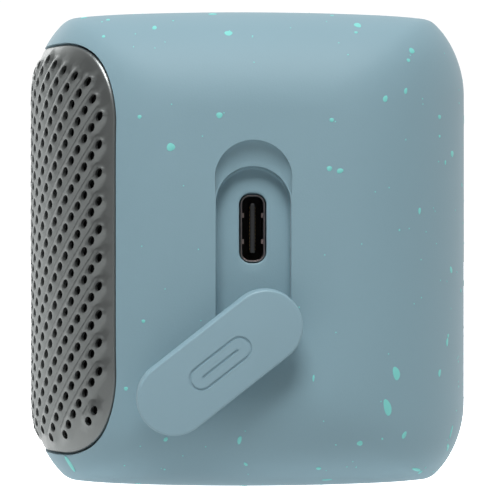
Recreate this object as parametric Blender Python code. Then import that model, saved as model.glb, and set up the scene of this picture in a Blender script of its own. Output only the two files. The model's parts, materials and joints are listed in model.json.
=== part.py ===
"""Portable bluetooth speaker: case, grille, drivers, battery, boards, buttons, port and port flap.

Metres, +Z up. +X runs along the speaker to the end with the port, the grille faces -Y, and the feet
rest on z = 0. The port flap is drawn pulled out of its pocket and swivelled aside.
"""
import math

import bmesh
import bpy
import numpy as np
from mathutils import Matrix, Quaternion, Vector

MM = 0.001

# ---------------------------------------------------------------- overall sizes
LENGTH = 186 * MM
DEPTH = 60 * MM
BODY_HEIGHT = 65 * MM
FOOT_REACH = 0.25 * MM  # how far the feet stand below the case
GAP = 0.3 * MM  # clearance between neighbouring pieces

# ---------------------------------------------------------------- case
CORNER_RADIUS = 15 * MM  # long edges, seen from the end
CREASE_ANGLE = math.radians(43.5)  # where the long edge stops and the crease begins
CREASE_RADIUS = 2.5 * MM
CROWN_ANGLE = math.radians(4)  # slope of the top and bottom faces at the crease
PLAN_RADIUS = 19 * MM  # vertical corners, seen from above
END_RADIUS = 14 * MM  # ends' top and bottom edges, seen from the front
WALL = 3 * MM
END_WALL = 6.5 * MM
INNER_CREASE_RADIUS = 0.8 * MM

# ---------------------------------------------------------------- grille and cloth
GRILLE_HALF_HEIGHT = 27.2 * MM
GRILLE_WRAP = 21.9 * MM  # how far the grille follows the corner round, past the straight front
GRILLE_CORNER = 11.5 * MM
GRILLE_PROUD = 0.15 * MM
GRILLE_SHEET = 0.8 * MM
CLOTH_SHEET = 0.4 * MM
CLOTH_MARGIN = 1.5 * MM

# ---------------------------------------------------------------- baffle, gasket and screws
BAFFLE_HALF_LENGTH = 80 * MM
BAFFLE_HALF_HEIGHT = 24.8 * MM
BAFFLE_CORNER = 8 * MM
BAFFLE_SHEET = 2.6 * MM
GASKET_SHEET = 0.8 * MM
WINDOW_HALF_LENGTH = 71 * MM  # opening in the case behind the baffle
WINDOW_HALF_HEIGHT = 21.2 * MM
WINDOW_CORNER = 6 * MM
FRAME_SHEET = 5 * MM  # case material behind the gasket
SCREW_RADIUS = 0.9 * MM
SCREW_HEAD_RADIUS = 1.5 * MM
SCREW_HEAD_HEIGHT = 1.1 * MM
SCREW_LENGTH = 7 * MM
SCREW_END_DROP = 8 * MM  # how far the end screws sit inside the window's height

# ---------------------------------------------------------------- drivers
DRIVER_SPACING = 48 * MM
DRIVER_FLANGE_RADIUS = 20.4 * MM
FLANGE_SHEET = 1.5 * MM
CONE_RADIUS = 13.6 * MM
SURROUND_WIDTH = 2.6 * MM
SURROUND_LIP = 1.4 * MM
SURROUND_SHEET = 0.5 * MM
COIL_RADIUS = 6.3 * MM
COIL_SHEET = 0.6 * MM
MAGNET_RADIUS = 12 * MM
MAGNET_HEIGHT = 7.4 * MM
BASKET_DEPTH = 12.6 * MM
RADIATOR_PISTON_RADIUS = 11.4 * MM
RADIATOR_PISTON_SHEET = 1.6 * MM
CONE_RIM_LIFT = 1.2 * MM  # cone's rim, in front of the flange
CONE_DEPTH = 4.4 * MM
DUST_CAP_RISE = 2.6 * MM

# ---------------------------------------------------------------- battery and boards
CELL_RADIUS = 9.2 * MM
CELL_LENGTH = 65 * MM
CELL_SPACING = 1.5 * MM
HOLDER_WALL = 1.5 * MM
HOLDER_Y = 12 * MM
HOLDER_LIFT = 1.35 * MM
HOLDER_DEPTH = 9 * MM
BOARD_SHEET = 1.6 * MM
MAIN_BOARD_HALF_LENGTH = 60 * MM
MAIN_BOARD_HALF_HEIGHT = 12 * MM
MAIN_BOARD_RISE = 8.85 * MM  # board's centre above the case's centre
STANDOFF_HEIGHT = 4.6 * MM
STANDOFF_RADIUS = 2.2 * MM
SHIELD_SIZE = Vector((14, 2.2, 12)) * MM
SHIELD_X = -43 * MM

# ---------------------------------------------------------------- top buttons
BUTTON_NAMES = ("power", "bluetooth", "volume_down", "play", "volume_up")
BUTTON_PITCH = 18 * MM
BUTTON_RADIUS = 5 * MM
BUTTON_PROUD = 0.4 * MM
BUTTON_TRAVEL = 0.5 * MM
BUTTON_BEVEL = 0.4 * MM
BUTTON_FLANGE = 1.2 * MM
BUTTON_FLANGE_SHEET = 0.8 * MM
PLUNGER_RADIUS = 1.5 * MM
PLUNGER_LENGTH = 1.2 * MM
SWITCH_RADIUS = 2.5 * MM
SWITCH_HEIGHT = 0.8 * MM
BUTTON_BOARD_MARGIN = 13 * MM  # board's length past the last button, each side
BUTTON_BOARD_HALF_WIDTH = 7 * MM
POST_RADIUS = 2 * MM
POST_INSET = 4 * MM
LIGHT_RADIUS = 1 * MM

# ---------------------------------------------------------------- port, pocket and flap
PORT_RISE = 2.75 * MM  # port's centre above the case's centre
SHELL_LONG = 8.94 * MM
SHELL_SHORT = 3.26 * MM
SHELL_SHEET = 0.3 * MM
SHELL_DEPTH = 7.3 * MM
SHELL_CORNER = 1.25 * MM
TONGUE_LONG = 6.7 * MM
TONGUE_SHORT = 0.7 * MM
TONGUE_BACK = 0.7 * MM
USB_BOARD_SHEET = 1.2 * MM
USB_BOARD_LENGTH = 11 * MM
USB_BOARD_HALF_HEIGHT = 7.5 * MM
USB_GASKET_WIDTH = 1.8 * MM
USB_GASKET_SHEET = 1.3 * MM
POCKET_HALF_WIDTH = 5.1 * MM
POCKET_DEPTH = 3 * MM
POCKET_TOP_RISE = 5.85 * MM  # centre of the pocket's upper round end above the case's centre
POCKET_BOTTOM_DROP = 9.15 * MM  # centre of its lower round end below the case's centre
SCOOP_DEPTH = 1.3 * MM
SCOOP_RUN = 3.3 * MM  # how far the fingernail scoop rises above the pocket
FLAP_HALF_WIDTH = 4.9 * MM
FLAP_SHEET = 2 * MM
FLAP_REACH = 15 * MM  # between the centres of its two round ends
FLAP_STANDOFF = 3 * MM
FLAP_BEVEL = 0.5 * MM
FLAP_TURN = math.radians(128.3)  # swivelled from straight up, towards the front
STEM_RADIUS = 1.5 * MM
STEM_Y = 0.7 * MM  # where the stem's axis meets the pocket's floor
STEM_DROP = 9.65 * MM
STEM_TILT = math.radians(5.6)
STEM_LEAN = math.radians(-25.85)  # direction of that tilt in the YZ plane, from +Y
BULB_RADIUS = 2.5 * MM
BULB_HEIGHT = 1.6 * MM

# ---------------------------------------------------------------- feet
FOOT_Y = 14.1 * MM
FOOT_WIDTH = 5.8 * MM
FOOT_LENGTH = 126 * MM
FOOT_HEIGHT = 1.4 * MM

# ---------------------------------------------------------------- places worked out from the sizes
CENTRE_Z = FOOT_REACH + BODY_HEIGHT / 2
FRONT_Y = -DEPTH / 2
END_X = LENGTH / 2
BEYOND = 3 * MM  # how far a cutter runs past the face that it opens


def quarter_section(half_depth, half_height, radius, crease_radius, steps=(7, 4, 3)):
    """Points of the case's section from its side to its top centre: long edge, crease, then crown."""
    tilt_end = math.pi / 2 - CROWN_ANGLE
    spans = (
        (radius, 0.0, CREASE_ANGLE, steps[0]),
        (crease_radius, CREASE_ANGLE, tilt_end, steps[1]),
    )
    points = [(0.0, 0.0)]
    for arc, start, stop, count in spans:
        y, z = points[-1]
        for k in range(1, count + 1):
            angle = start + (stop - start) * k / count
            step_y = arc * (math.cos(start) - math.cos(angle))
            step_z = arc * (math.sin(angle) - math.sin(start))
            points.append((y - step_y, z + step_z))
    crown = (half_depth + points[-1][0]) / math.cos(tilt_end)
    y, z = points[-1]
    for k in range(1, steps[2] + 1):
        angle = tilt_end + CROWN_ANGLE * k / steps[2]
        step_y = crown * (math.cos(tilt_end) - math.cos(angle))
        points.append((y - step_y, z + crown * (math.sin(angle) - math.sin(tilt_end))))
    lift = half_height - points[-1][1]
    return [(half_depth + y, lift + z) for y, z in points]


def full_section(half_depth, half_height, radius, crease_radius):
    """The whole closed section, anticlockwise seen from +X, as (y, z) about the case's centre."""
    first = quarter_section(half_depth, half_height, radius, crease_radius)
    second = [(-y, z) for y, z in reversed(first[:-1])]
    third = [(-y, -z) for y, z in first]
    fourth = [(y, -z) for y, z in reversed(first[:-1])]
    return first + second + third + fourth


def inset(x, half_length, radius):
    """How far a quarter-round end of this radius has drawn in at x."""
    past = max(0.0, abs(x) - (half_length - radius))
    return radius - math.sqrt(max(0.0, radius**2 - past**2))


def side_y(z_offset):
    """Half depth of the full section at a height from the case's centre, up to the crease."""
    points = quarter_section(DEPTH / 2, BODY_HEIGHT / 2, CORNER_RADIUS, CREASE_RADIUS)
    past = max(0.0, abs(z_offset) - points[0][1])
    return DEPTH / 2 - CORNER_RADIUS + math.sqrt(max(0.0, CORNER_RADIUS**2 - past**2))


def front_depth(x, z_offset):
    """Distance from the middle plane to the case's front at x and a height from its centre."""
    shrink_y = 1 - inset(x, END_X, PLAN_RADIUS) / (DEPTH / 2)
    shrink_z = 1 - inset(x, END_X, END_RADIUS) / (BODY_HEIGHT / 2)
    return shrink_y * side_y(z_offset / shrink_z)


def wrap_point(s, z_offset):
    """Point on the front where s is the way along it from the middle, round the vertical corners."""
    straight = END_X - PLAN_RADIUS
    turn = max(0.0, abs(s) - straight) / PLAN_RADIUS
    x = math.copysign(min(abs(s), straight) + PLAN_RADIUS * math.sin(turn), s)
    return Vector((x, -front_depth(x, z_offset), CENTRE_Z + z_offset))


def wrap_shifted(s, z_offset, out):
    """The same point moved out along the surface's normal."""
    step = 0.05 * MM
    along = wrap_point(s + step, z_offset) - wrap_point(s - step, z_offset)
    up = wrap_point(s, z_offset + step) - wrap_point(s, z_offset - step)
    return wrap_point(s, z_offset) + along.cross(up).normalized() * out


# ---------------------------------------------------------------- making objects
def clear_scene():
    for obj in list(bpy.data.objects):
        bpy.data.objects.remove(obj, do_unlink=True)


def material(name, colour, roughness, metallic=0.0):
    mat = bpy.data.materials.new(name)
    mat.use_nodes = True
    shader = mat.node_tree.nodes["Principled BSDF"]
    shader.inputs["Base Color"].default_value = (*colour, 1.0)
    shader.inputs["Roughness"].default_value = roughness
    shader.inputs["Metallic"].default_value = metallic
    mat.diffuse_color = (*colour, 1.0)
    return mat


def solid(name, points, faces, mat=None, origin=(0, 0, 0)):
    """A closed mesh object with its origin at the given place; a piece without material is a cutter."""
    at = Vector(origin)
    mesh = bpy.data.meshes.new(name)
    mesh.from_pydata([Vector(p) - at for p in points], [], faces)
    bm = bmesh.new()
    bm.from_mesh(mesh)
    bmesh.ops.recalc_face_normals(bm, faces=bm.faces)
    bm.to_mesh(mesh)
    bm.free()
    obj = bpy.data.objects.new(name, mesh)
    obj.location = at
    bpy.context.scene.collection.objects.link(obj)
    if mat is None:
        obj.hide_render = True
        obj.display_type = "WIRE"
    else:
        mesh.materials.append(mat)
        mesh.shade_smooth()
        mesh.set_sharp_from_angle(angle=math.radians(35))
    return obj


def skin(rings):
    """Vertices and faces of a tube through closed rings of equal length, with both ends capped."""
    count = len(rings[0])
    points = [p for ring in rings for p in ring]
    faces = [tuple(range(count))]
    for r in range(len(rings) - 1):
        low = r * count
        for k in range(count):
            nxt = (k + 1) % count
            faces.append((low + k, low + nxt, low + count + nxt, low + count + k))
    last = (len(rings) - 1) * count
    faces.append(tuple(reversed(range(last, last + count))))
    return points, faces


def place(axis, along, u, v):
    """A point at `along` on an axis; u and v are the other two coordinates in X, Y, Z order."""
    return {"X": (along, u, v), "Y": (u, along, v), "Z": (u, v, along)}[axis]


def prism(name, outline, axis, start, stop, mat=None, origin=(0, 0, 0)):
    """An outline of (u, v) points extruded along an axis."""
    rings = [[place(axis, along, u, v) for u, v in outline] for along in (start, stop)]
    return solid(name, *skin(rings), mat, origin)


def arc(u, v, radius, start, stop, count):
    """Points on an arc, from start to stop in radians."""
    angles = np.linspace(start, stop, count + 1)
    return [(u + radius * math.cos(a), v + radius * math.sin(a)) for a in angles]


def circle(u, v, radius, count=28):
    return arc(u, v, radius, 0, 2 * math.pi, count)[:-1]


def rounded_rect(u, v, half_u, half_v, radius, count=5):
    points = []
    for k, (su, sv) in enumerate(((1, 1), (-1, 1), (-1, -1), (1, -1))):
        corner_u = u + su * (half_u - radius)
        corner_v = v + sv * (half_v - radius)
        points += arc(corner_u, corner_v, radius, k * math.pi / 2, (k + 1) * math.pi / 2, count)
    return points


def stadium(u, v_low, v_high, radius, count=14):
    """Two half circles, one above the other, joined by straight sides."""
    return arc(u, v_high, radius, 0, math.pi, count) + arc(u, v_low, radius, math.pi, 2 * math.pi, count)


def turned(name, profile, centre, axis, mat=None, count=40, origin=(0, 0, 0)):
    """A profile of (radius, along) points turned about an axis through (u, v); radius 0 is a pole."""
    points = []
    rows = []
    for radius, along in profile:
        if radius == 0:
            points.append(place(axis, along, *centre))
            rows.append([len(points) - 1] * count)
        else:
            rows.append(list(range(len(points), len(points) + count)))
            points += [place(axis, along, u, v) for u, v in circle(*centre, radius, count)]
    open_ended = profile[0][0] == 0
    faces = []
    for r in range(len(rows) - 1 if open_ended else len(rows)):
        first = rows[r]
        second = rows[(r + 1) % len(rows)]
        for k in range(count):
            nxt = (k + 1) % count
            corners = (first[k], first[nxt], second[nxt], second[k])
            faces.append(tuple(dict.fromkeys(corners)))
    return solid(name, points, faces, mat, origin)


def loft(name, half_length, half_depth, half_height, radius, crease_radius, plan, end, mat=None):
    """The case's shape: one section, drawn in towards both ends by two quarter rounds."""
    section = full_section(half_depth, half_height, radius, crease_radius)
    turns = np.linspace(0, math.pi / 2, 11)
    right = [half_length - plan + plan * math.sin(t) for t in turns]
    stations = [-x for x in reversed(right)] + right
    rings = []
    for x in stations:
        shrink_y = 1 - inset(x, half_length, plan) / half_depth
        shrink_z = 1 - inset(x, half_length, end) / half_height
        rings.append([(x, y * shrink_y, CENTRE_Z + z * shrink_z) for y, z in section])
    return solid(name, *skin(rings), mat)


def wrapped_sheet(name, margin, outer, inner, mat=None):
    """A sheet that follows the front, with the grille's outline grown by a margin on every side."""
    half_s = END_X - PLAN_RADIUS + GRILLE_WRAP + margin
    half_z = GRILLE_HALF_HEIGHT + margin
    radius = GRILLE_CORNER + margin
    turns = np.linspace(0, math.pi / 2, 6)
    top = [half_z - radius + radius * math.sin(t) for t in turns]
    heights = [-z for z in reversed(top)] + list(np.linspace(top[0], -top[0], 4)[1:-1][::-1]) + top
    straight = END_X - PLAN_RADIUS
    columns = []
    bend = np.linspace(0, 1, 9)
    for z in heights:
        past = max(0.0, abs(z) - (half_z - radius))
        reach = half_s - radius + math.sqrt(max(0.0, radius**2 - past**2))
        right = [straight + (reach - straight) * b for b in bend]
        columns.append([-s for s in reversed(right)] + [0.0] + right)
    wide = len(columns[0])
    points = []
    for out in (outer, inner):
        for z, row in zip(heights, columns):
            points += [wrap_shifted(s, z, out) for s in row]
    layer = wide * len(heights)
    faces = []
    for r in range(len(heights) - 1):
        for c in range(wide - 1):
            a = r * wide + c
            faces.append((a, a + 1, a + wide + 1, a + wide))
            faces.append((layer + a, layer + a + wide, layer + a + wide + 1, layer + a + 1))
    rim = [c for c in range(wide)]
    rim += [r * wide + wide - 1 for r in range(1, len(heights))]
    rim += [(len(heights) - 1) * wide + c for c in reversed(range(wide - 1))]
    rim += [r * wide for r in reversed(range(1, len(heights) - 1))]
    for a, b in zip(rim, rim[1:] + rim[:1]):
        faces.append((a, layer + a, layer + b, b))
    return solid(name, points, faces, mat)


def combine(target, other, operation):
    step = target.modifiers.new(f"{operation.lower()}_{other.name}", "BOOLEAN")
    step.operation = operation
    step.solver = "EXACT"
    step.object = other


def cut(target, *cutters):
    for cutter in cutters:
        combine(target, cutter, "DIFFERENCE")


# ---------------------------------------------------------------- depths behind the front face
GRILLE_BACK = GRILLE_SHEET - GRILLE_PROUD
CLOTH_FRONT = GRILLE_BACK + GAP
CLOTH_BACK = CLOTH_FRONT + CLOTH_SHEET
REBATE_DEPTH = CLOTH_BACK + GAP
BAFFLE_FRONT = -front_depth(BAFFLE_HALF_LENGTH, BAFFLE_HALF_HEIGHT) + CLOTH_BACK + 2 * GAP
BAFFLE_BACK = BAFFLE_FRONT + BAFFLE_SHEET
GASKET_FRONT = BAFFLE_BACK + GAP
LEDGE_Y = GASKET_FRONT + GASKET_SHEET + GAP
FRAME_BACK = LEDGE_Y + FRAME_SHEET
FLANGE_FRONT = BAFFLE_BACK + GAP
INNER_TOP = CENTRE_Z + BODY_HEIGHT / 2 - WALL
TOP_Z = CENTRE_Z + BODY_HEIGHT / 2
BUTTON_X = {name: (k - 2) * BUTTON_PITCH for k, name in enumerate(BUTTON_NAMES)}
LIGHT_X = (BUTTON_X["power"] + BUTTON_X["bluetooth"]) / 2
FLANGE_TOP = INNER_TOP - GAP
FLANGE_BOTTOM = FLANGE_TOP - BUTTON_FLANGE_SHEET
PLUNGER_END = FLANGE_BOTTOM - PLUNGER_LENGTH
SWITCH_TOP = PLUNGER_END - BUTTON_TRAVEL - GAP
BUTTON_BOARD_TOP = SWITCH_TOP - SWITCH_HEIGHT - GAP
BUTTON_BOARD_HALF_LENGTH = 2 * BUTTON_PITCH + BUTTON_BOARD_MARGIN
PORT_Z = CENTRE_Z + PORT_RISE
POCKET_FLOOR = END_X - POCKET_DEPTH
POCKET_LOW = CENTRE_Z - POCKET_BOTTOM_DROP
POCKET_HIGH = CENTRE_Z + POCKET_TOP_RISE
CAVITY_END = END_X - END_WALL
STEM_AXIS = Vector(
    (
        math.cos(STEM_TILT),
        math.sin(STEM_TILT) * math.cos(STEM_LEAN),
        math.sin(STEM_TILT) * math.sin(STEM_LEAN),
    )
)
STEM_FOOT = Vector((POCKET_FLOOR, STEM_Y, CENTRE_Z - STEM_DROP))
FLAP_PIVOT = STEM_FOOT + STEM_AXIS * ((POCKET_DEPTH + FLAP_STANDOFF) / STEM_AXIS.x)
SCREW_PLACES = [
    (sx * (WINDOW_HALF_LENGTH + BAFFLE_HALF_LENGTH) / 2, sz * (WINDOW_HALF_HEIGHT - SCREW_END_DROP))
    for sx in (-1, 1)
    for sz in (-1, 1)
] + [(0.0, sz * (WINDOW_HALF_HEIGHT + BAFFLE_HALF_HEIGHT) / 2) for sz in (-1, 1)]


def along_stem(name, radius, start, stop, mat=None, count=24):
    """A round bar on the stem's axis; start and stop are distances from the flap's back, inwards."""
    turn = STEM_AXIS.to_track_quat("Z", "Y").to_matrix()
    rings = []
    for distance in (start, stop):
        centre = FLAP_PIVOT - STEM_AXIS * distance
        rings.append([centre + turn @ Vector((u, v, 0)) for u, v in circle(0, 0, radius, count)])
    return solid(name, *skin(rings), mat)


# ---------------------------------------------------------------- the case and its front
def make_housing(mat):
    half_height = BODY_HEIGHT / 2
    case = loft(
        "main_housing",
        END_X,
        DEPTH / 2,
        half_height,
        CORNER_RADIUS,
        CREASE_RADIUS,
        PLAN_RADIUS,
        END_RADIUS,
        mat,
    )
    cavity = loft(
        "cavity_cutter",
        CAVITY_END,
        DEPTH / 2 - WALL,
        half_height - WALL,
        CORNER_RADIUS - WALL,
        INNER_CREASE_RADIUS,
        PLAN_RADIUS - WALL,
        END_RADIUS - WALL,
    )
    frame = prism(
        "frame_keeper",
        rounded_rect(0, CENTRE_Z, END_X, half_height, GAP),
        "Y",
        FRONT_Y - BEYOND,
        FRAME_BACK,
    )
    cut(cavity, frame)
    board_z = CENTRE_Z + MAIN_BOARD_RISE
    rear_wall = DEPTH / 2 - WALL
    for sx in (-1, 1):
        for sz in (-1, 1):
            x = sx * (MAIN_BOARD_HALF_LENGTH - 2 * STANDOFF_RADIUS)
            z = board_z + sz * (MAIN_BOARD_HALF_HEIGHT - 1.5 * STANDOFF_RADIUS)
            outline = circle(x, z, STANDOFF_RADIUS, 16)
            name = f"standoff_keeper_{'lr'[sx > 0]}{'du'[sz > 0]}"
            cut(cavity, prism(name, outline, "Y", rear_wall - STANDOFF_HEIGHT + GAP, rear_wall + BEYOND))
        x = sx * (BUTTON_BOARD_HALF_LENGTH - POST_INSET)
        outline = circle(x, 0, POST_RADIUS, 16)
        post = prism(f"post_keeper_{sx}", outline, "Z", BUTTON_BOARD_TOP + GAP, INNER_TOP + BEYOND)
        cut(cavity, post)
    cut(case, cavity)
    cut(case, wrapped_sheet("rebate_cutter", GAP, BEYOND, -REBATE_DEPTH))
    seat = rounded_rect(
        0, CENTRE_Z, BAFFLE_HALF_LENGTH + GAP, BAFFLE_HALF_HEIGHT + GAP, BAFFLE_CORNER + GAP
    )
    cut(case, prism("seat_cutter", seat, "Y", FRONT_Y - BEYOND, LEDGE_Y))
    window = rounded_rect(0, CENTRE_Z, WINDOW_HALF_LENGTH, WINDOW_HALF_HEIGHT, WINDOW_CORNER)
    cut(case, prism("window_cutter", window, "Y", FRONT_Y - BEYOND, FRAME_BACK + BEYOND))
    for k, (x, z) in enumerate(SCREW_PLACES):
        outline = circle(x, CENTRE_Z + z, SCREW_RADIUS + GAP, 12)
        cut(case, prism(f"pilot_cutter_{k}", outline, "Y", FRONT_Y, FRAME_BACK - GAP))
    for name, sign in (("front", -1), ("rear", 1)):
        half_width = FOOT_WIDTH / 2 + GAP
        outline = rounded_rect(0, sign * FOOT_Y, FOOT_LENGTH / 2 + GAP, half_width, half_width - GAP / 4)
        cut(case, prism(f"{name}_foot_cutter", outline, "Z", -BEYOND, FOOT_HEIGHT + GAP))
    for name in BUTTON_NAMES:
        outline = circle(BUTTON_X[name], 0, BUTTON_RADIUS + GAP)
        cut(case, prism(f"{name}_hole_cutter", outline, "Z", INNER_TOP - BEYOND, TOP_Z + BEYOND))
    outline = circle(LIGHT_X, 0, LIGHT_RADIUS + GAP, 16)
    cut(case, prism("light_hole_cutter", outline, "Z", INNER_TOP - BEYOND, TOP_Z + BEYOND))
    cut_port_pocket(case)
    return case


def cut_port_pocket(case):
    """Pocket for the flap, the fingernail scoop above it, the port's hole and the stem's hole."""
    inner = stadium(0, POCKET_LOW, POCKET_HIGH, POCKET_HALF_WIDTH)
    cut(case, prism("pocket_cutter", inner, "X", POCKET_FLOOR, END_X + BEYOND))
    slope = SCOOP_RUN / SCOOP_DEPTH
    rings = []
    for depth in (SCOOP_DEPTH, -GAP):
        rise = SCOOP_RUN - slope * depth
        outline = stadium(0, POCKET_HIGH - GAP, POCKET_HIGH + rise, POCKET_HALF_WIDTH)
        rings.append([(END_X - depth, y, z) for y, z in outline])
    cut(case, solid("scoop_cutter", *skin(rings)))
    hole = rounded_rect(
        0, PORT_Z, SHELL_SHORT / 2 + GAP, SHELL_LONG / 2 + GAP, SHELL_CORNER + GAP
    )
    cut(case, prism("port_hole_cutter", hole, "X", CAVITY_END - BEYOND, END_X + BEYOND))
    wall_back = (END_X + FLAP_STANDOFF - CAVITY_END + BEYOND) / STEM_AXIS.x
    cut(case, along_stem("stem_hole_cutter", STEM_RADIUS + GAP, -BEYOND, wall_back))


def make_front(mats):
    wrapped_sheet("front_grille", 0, GRILLE_PROUD, -GRILLE_BACK, mats["grille"])
    wrapped_sheet("grille_cloth", -CLOTH_MARGIN, -CLOTH_FRONT, -CLOTH_BACK, mats["cloth"])
    outline = rounded_rect(0, CENTRE_Z, BAFFLE_HALF_LENGTH, BAFFLE_HALF_HEIGHT, BAFFLE_CORNER)
    baffle = prism("front_baffle", outline, "Y", BAFFLE_FRONT, BAFFLE_BACK, mats["black_plastic"])
    driver_hole = CONE_RADIUS + SURROUND_WIDTH + SURROUND_LIP + 2 * GAP
    for k, x in enumerate((-DRIVER_SPACING, 0, DRIVER_SPACING)):
        hole = circle(x, CENTRE_Z, driver_hole, 40)
        cutter = prism(f"driver_hole_cutter_{k}", hole, "Y", BAFFLE_FRONT - BEYOND, LEDGE_Y)
        cut(baffle, cutter)
    gasket_back = GASKET_FRONT + GASKET_SHEET
    gasket = prism("baffle_gasket", outline, "Y", GASKET_FRONT, gasket_back, mats["foam"])
    window = rounded_rect(
        0, CENTRE_Z, WINDOW_HALF_LENGTH + GAP, WINDOW_HALF_HEIGHT + GAP, WINDOW_CORNER + GAP
    )
    cut(gasket, prism("gasket_window_cutter", window, "Y", BAFFLE_FRONT, LEDGE_Y))
    head_floor = BAFFLE_FRONT + SCREW_HEAD_HEIGHT - GAP
    for k, (x, z) in enumerate(SCREW_PLACES):
        centre = (x, CENTRE_Z + z)
        through = prism(
            f"screw_hole_cutter_{k}",
            circle(*centre, SCREW_RADIUS + GAP, 12),
            "Y",
            FRONT_Y,
            LEDGE_Y,
        )
        cut(baffle, through)
        cut(gasket, through)
        head = circle(*centre, SCREW_HEAD_RADIUS + GAP, 16)
        cut(baffle, prism(f"screw_seat_cutter_{k}", head, "Y", FRONT_Y, head_floor))
        seat = head_floor - GAP
        profile = (
            (0, seat - SCREW_HEAD_HEIGHT),
            (SCREW_HEAD_RADIUS, seat - SCREW_HEAD_HEIGHT),
            (SCREW_HEAD_RADIUS, seat),
            (SCREW_RADIUS, seat),
            (SCREW_RADIUS, seat + SCREW_LENGTH),
            (0, seat + SCREW_LENGTH),
        )
        turned(f"baffle_screw_{k + 1}", profile, centre, "Y", mats["steel"], 12)


# ---------------------------------------------------------------- drivers and radiator
def make_surround(name, centre_x, inner_radius, roll_width, mat):
    """A half roll with a flat lip that lies on the flange."""
    back = FLANGE_FRONT - GAP
    lip_start = inner_radius + roll_width
    outer = []
    inner = []
    half = roll_width / 2
    for angle in np.linspace(math.pi, 0, 7):
        sweep = (math.cos(angle), math.sin(angle))
        middle = inner_radius + half
        outer.append((middle + half * sweep[0], back - SURROUND_SHEET - half * sweep[1]))
        thin = half - SURROUND_SHEET
        inner.append((middle + thin * sweep[0], back - SURROUND_SHEET - thin * sweep[1]))
    lip = [
        (lip_start + SURROUND_LIP, back - SURROUND_SHEET),
        (lip_start + SURROUND_LIP, back),
        (lip_start - SURROUND_SHEET, back),
    ]
    foot = [(inner_radius + SURROUND_SHEET, back), (inner_radius, back)]
    profile = outer + lip + list(reversed(inner)) + foot
    turned(name, profile, (centre_x, CENTRE_Z), "Y", mat, 36)


def make_flange(name, centre_x, profile_tail, inner_radius, mat):
    """The ring that bolts up behind the baffle, with any basket that hangs from it."""
    profile = [
        (inner_radius, FLANGE_FRONT),
        (DRIVER_FLANGE_RADIUS, FLANGE_FRONT),
        (DRIVER_FLANGE_RADIUS, FLANGE_FRONT + FLANGE_SHEET),
    ] + profile_tail
    turned(name, profile, (centre_x, CENTRE_Z), "Y", mat, 36)


def make_driver(side, centre_x, mats):
    centre = (centre_x, CENTRE_Z)
    inner = CONE_RADIUS + 5 * GAP
    plate = FLANGE_FRONT + BASKET_DEPTH
    plate_front = plate - 4 * GAP
    foot = MAGNET_RADIUS + GAP
    coil_hole = COIL_RADIUS + COIL_SHEET / 2 + 2 * GAP
    tail = [
        (inner + FLANGE_SHEET, FLANGE_FRONT + FLANGE_SHEET),
        (foot, plate_front),
        (foot, plate),
        (coil_hole, plate),
        (coil_hole, plate_front),
        (foot - FLANGE_SHEET, plate_front),
        (inner, FLANGE_FRONT + FLANGE_SHEET),
    ]
    make_flange(f"{side}_driver_basket", centre_x, tail, inner, mats["black_plastic"])
    front = plate + GAP
    groove = COIL_RADIUS - COIL_SHEET / 2 - 2 * GAP
    groove_floor = front + MAGNET_HEIGHT / 2
    profile = (
        (0, front),
        (groove, front),
        (groove, groove_floor),
        (coil_hole, groove_floor),
        (coil_hole, front),
        (MAGNET_RADIUS, front),
        (MAGNET_RADIUS, front + MAGNET_HEIGHT),
        (0, front + MAGNET_HEIGHT),
    )
    turned(f"{side}_driver_magnet", profile, centre, "Y", mats["magnet"], 28)
    rim = FLANGE_FRONT - CONE_RIM_LIFT
    throat = rim + CONE_DEPTH
    coil_out = COIL_RADIUS + COIL_SHEET / 2
    coil_in = COIL_RADIUS - COIL_SHEET / 2
    cap = throat - DUST_CAP_RISE
    coil_end = front + MAGNET_HEIGHT / 5
    profile = (
        (0, cap),
        (coil_in / 2, cap + COIL_SHEET),
        (coil_in, throat - 2 * COIL_SHEET),
        (CONE_RADIUS, rim),
        (CONE_RADIUS, rim + COIL_SHEET),
        (coil_out, throat),
        (coil_out, coil_end),
        (coil_in, coil_end),
        (coil_in, throat - COIL_SHEET),
        (coil_in / 2, cap + 2 * COIL_SHEET),
        (0, cap + COIL_SHEET),
    )
    turned(f"{side}_driver_cone", profile, centre, "Y", mats["cone"], 36, (centre_x, rim, CENTRE_Z))
    make_surround(
        f"{side}_driver_surround", centre_x, CONE_RADIUS + GAP, SURROUND_WIDTH - GAP, mats["rubber"]
    )


def make_radiator(mats):
    inner = CONE_RADIUS + 5 * GAP
    make_flange(
        "passive_radiator_frame", 0, [(inner, FLANGE_FRONT + FLANGE_SHEET)], inner, mats["black_plastic"]
    )
    roll_start = RADIATOR_PISTON_RADIUS + GAP
    roll_width = CONE_RADIUS + SURROUND_WIDTH - roll_start
    make_surround("passive_radiator_surround", 0, roll_start, roll_width, mats["rubber"])
    back = FLANGE_FRONT + GAP
    front = back - RADIATOR_PISTON_SHEET
    profile = (
        (0, front),
        (RADIATOR_PISTON_RADIUS - GAP, front),
        (RADIATOR_PISTON_RADIUS, front + GAP),
        (RADIATOR_PISTON_RADIUS, back),
        (0, back),
    )
    origin = (0, front, CENTRE_Z)
    turned("passive_radiator_piston", profile, (0, CENTRE_Z), "Y", mats["piston"], 36, origin)


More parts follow.
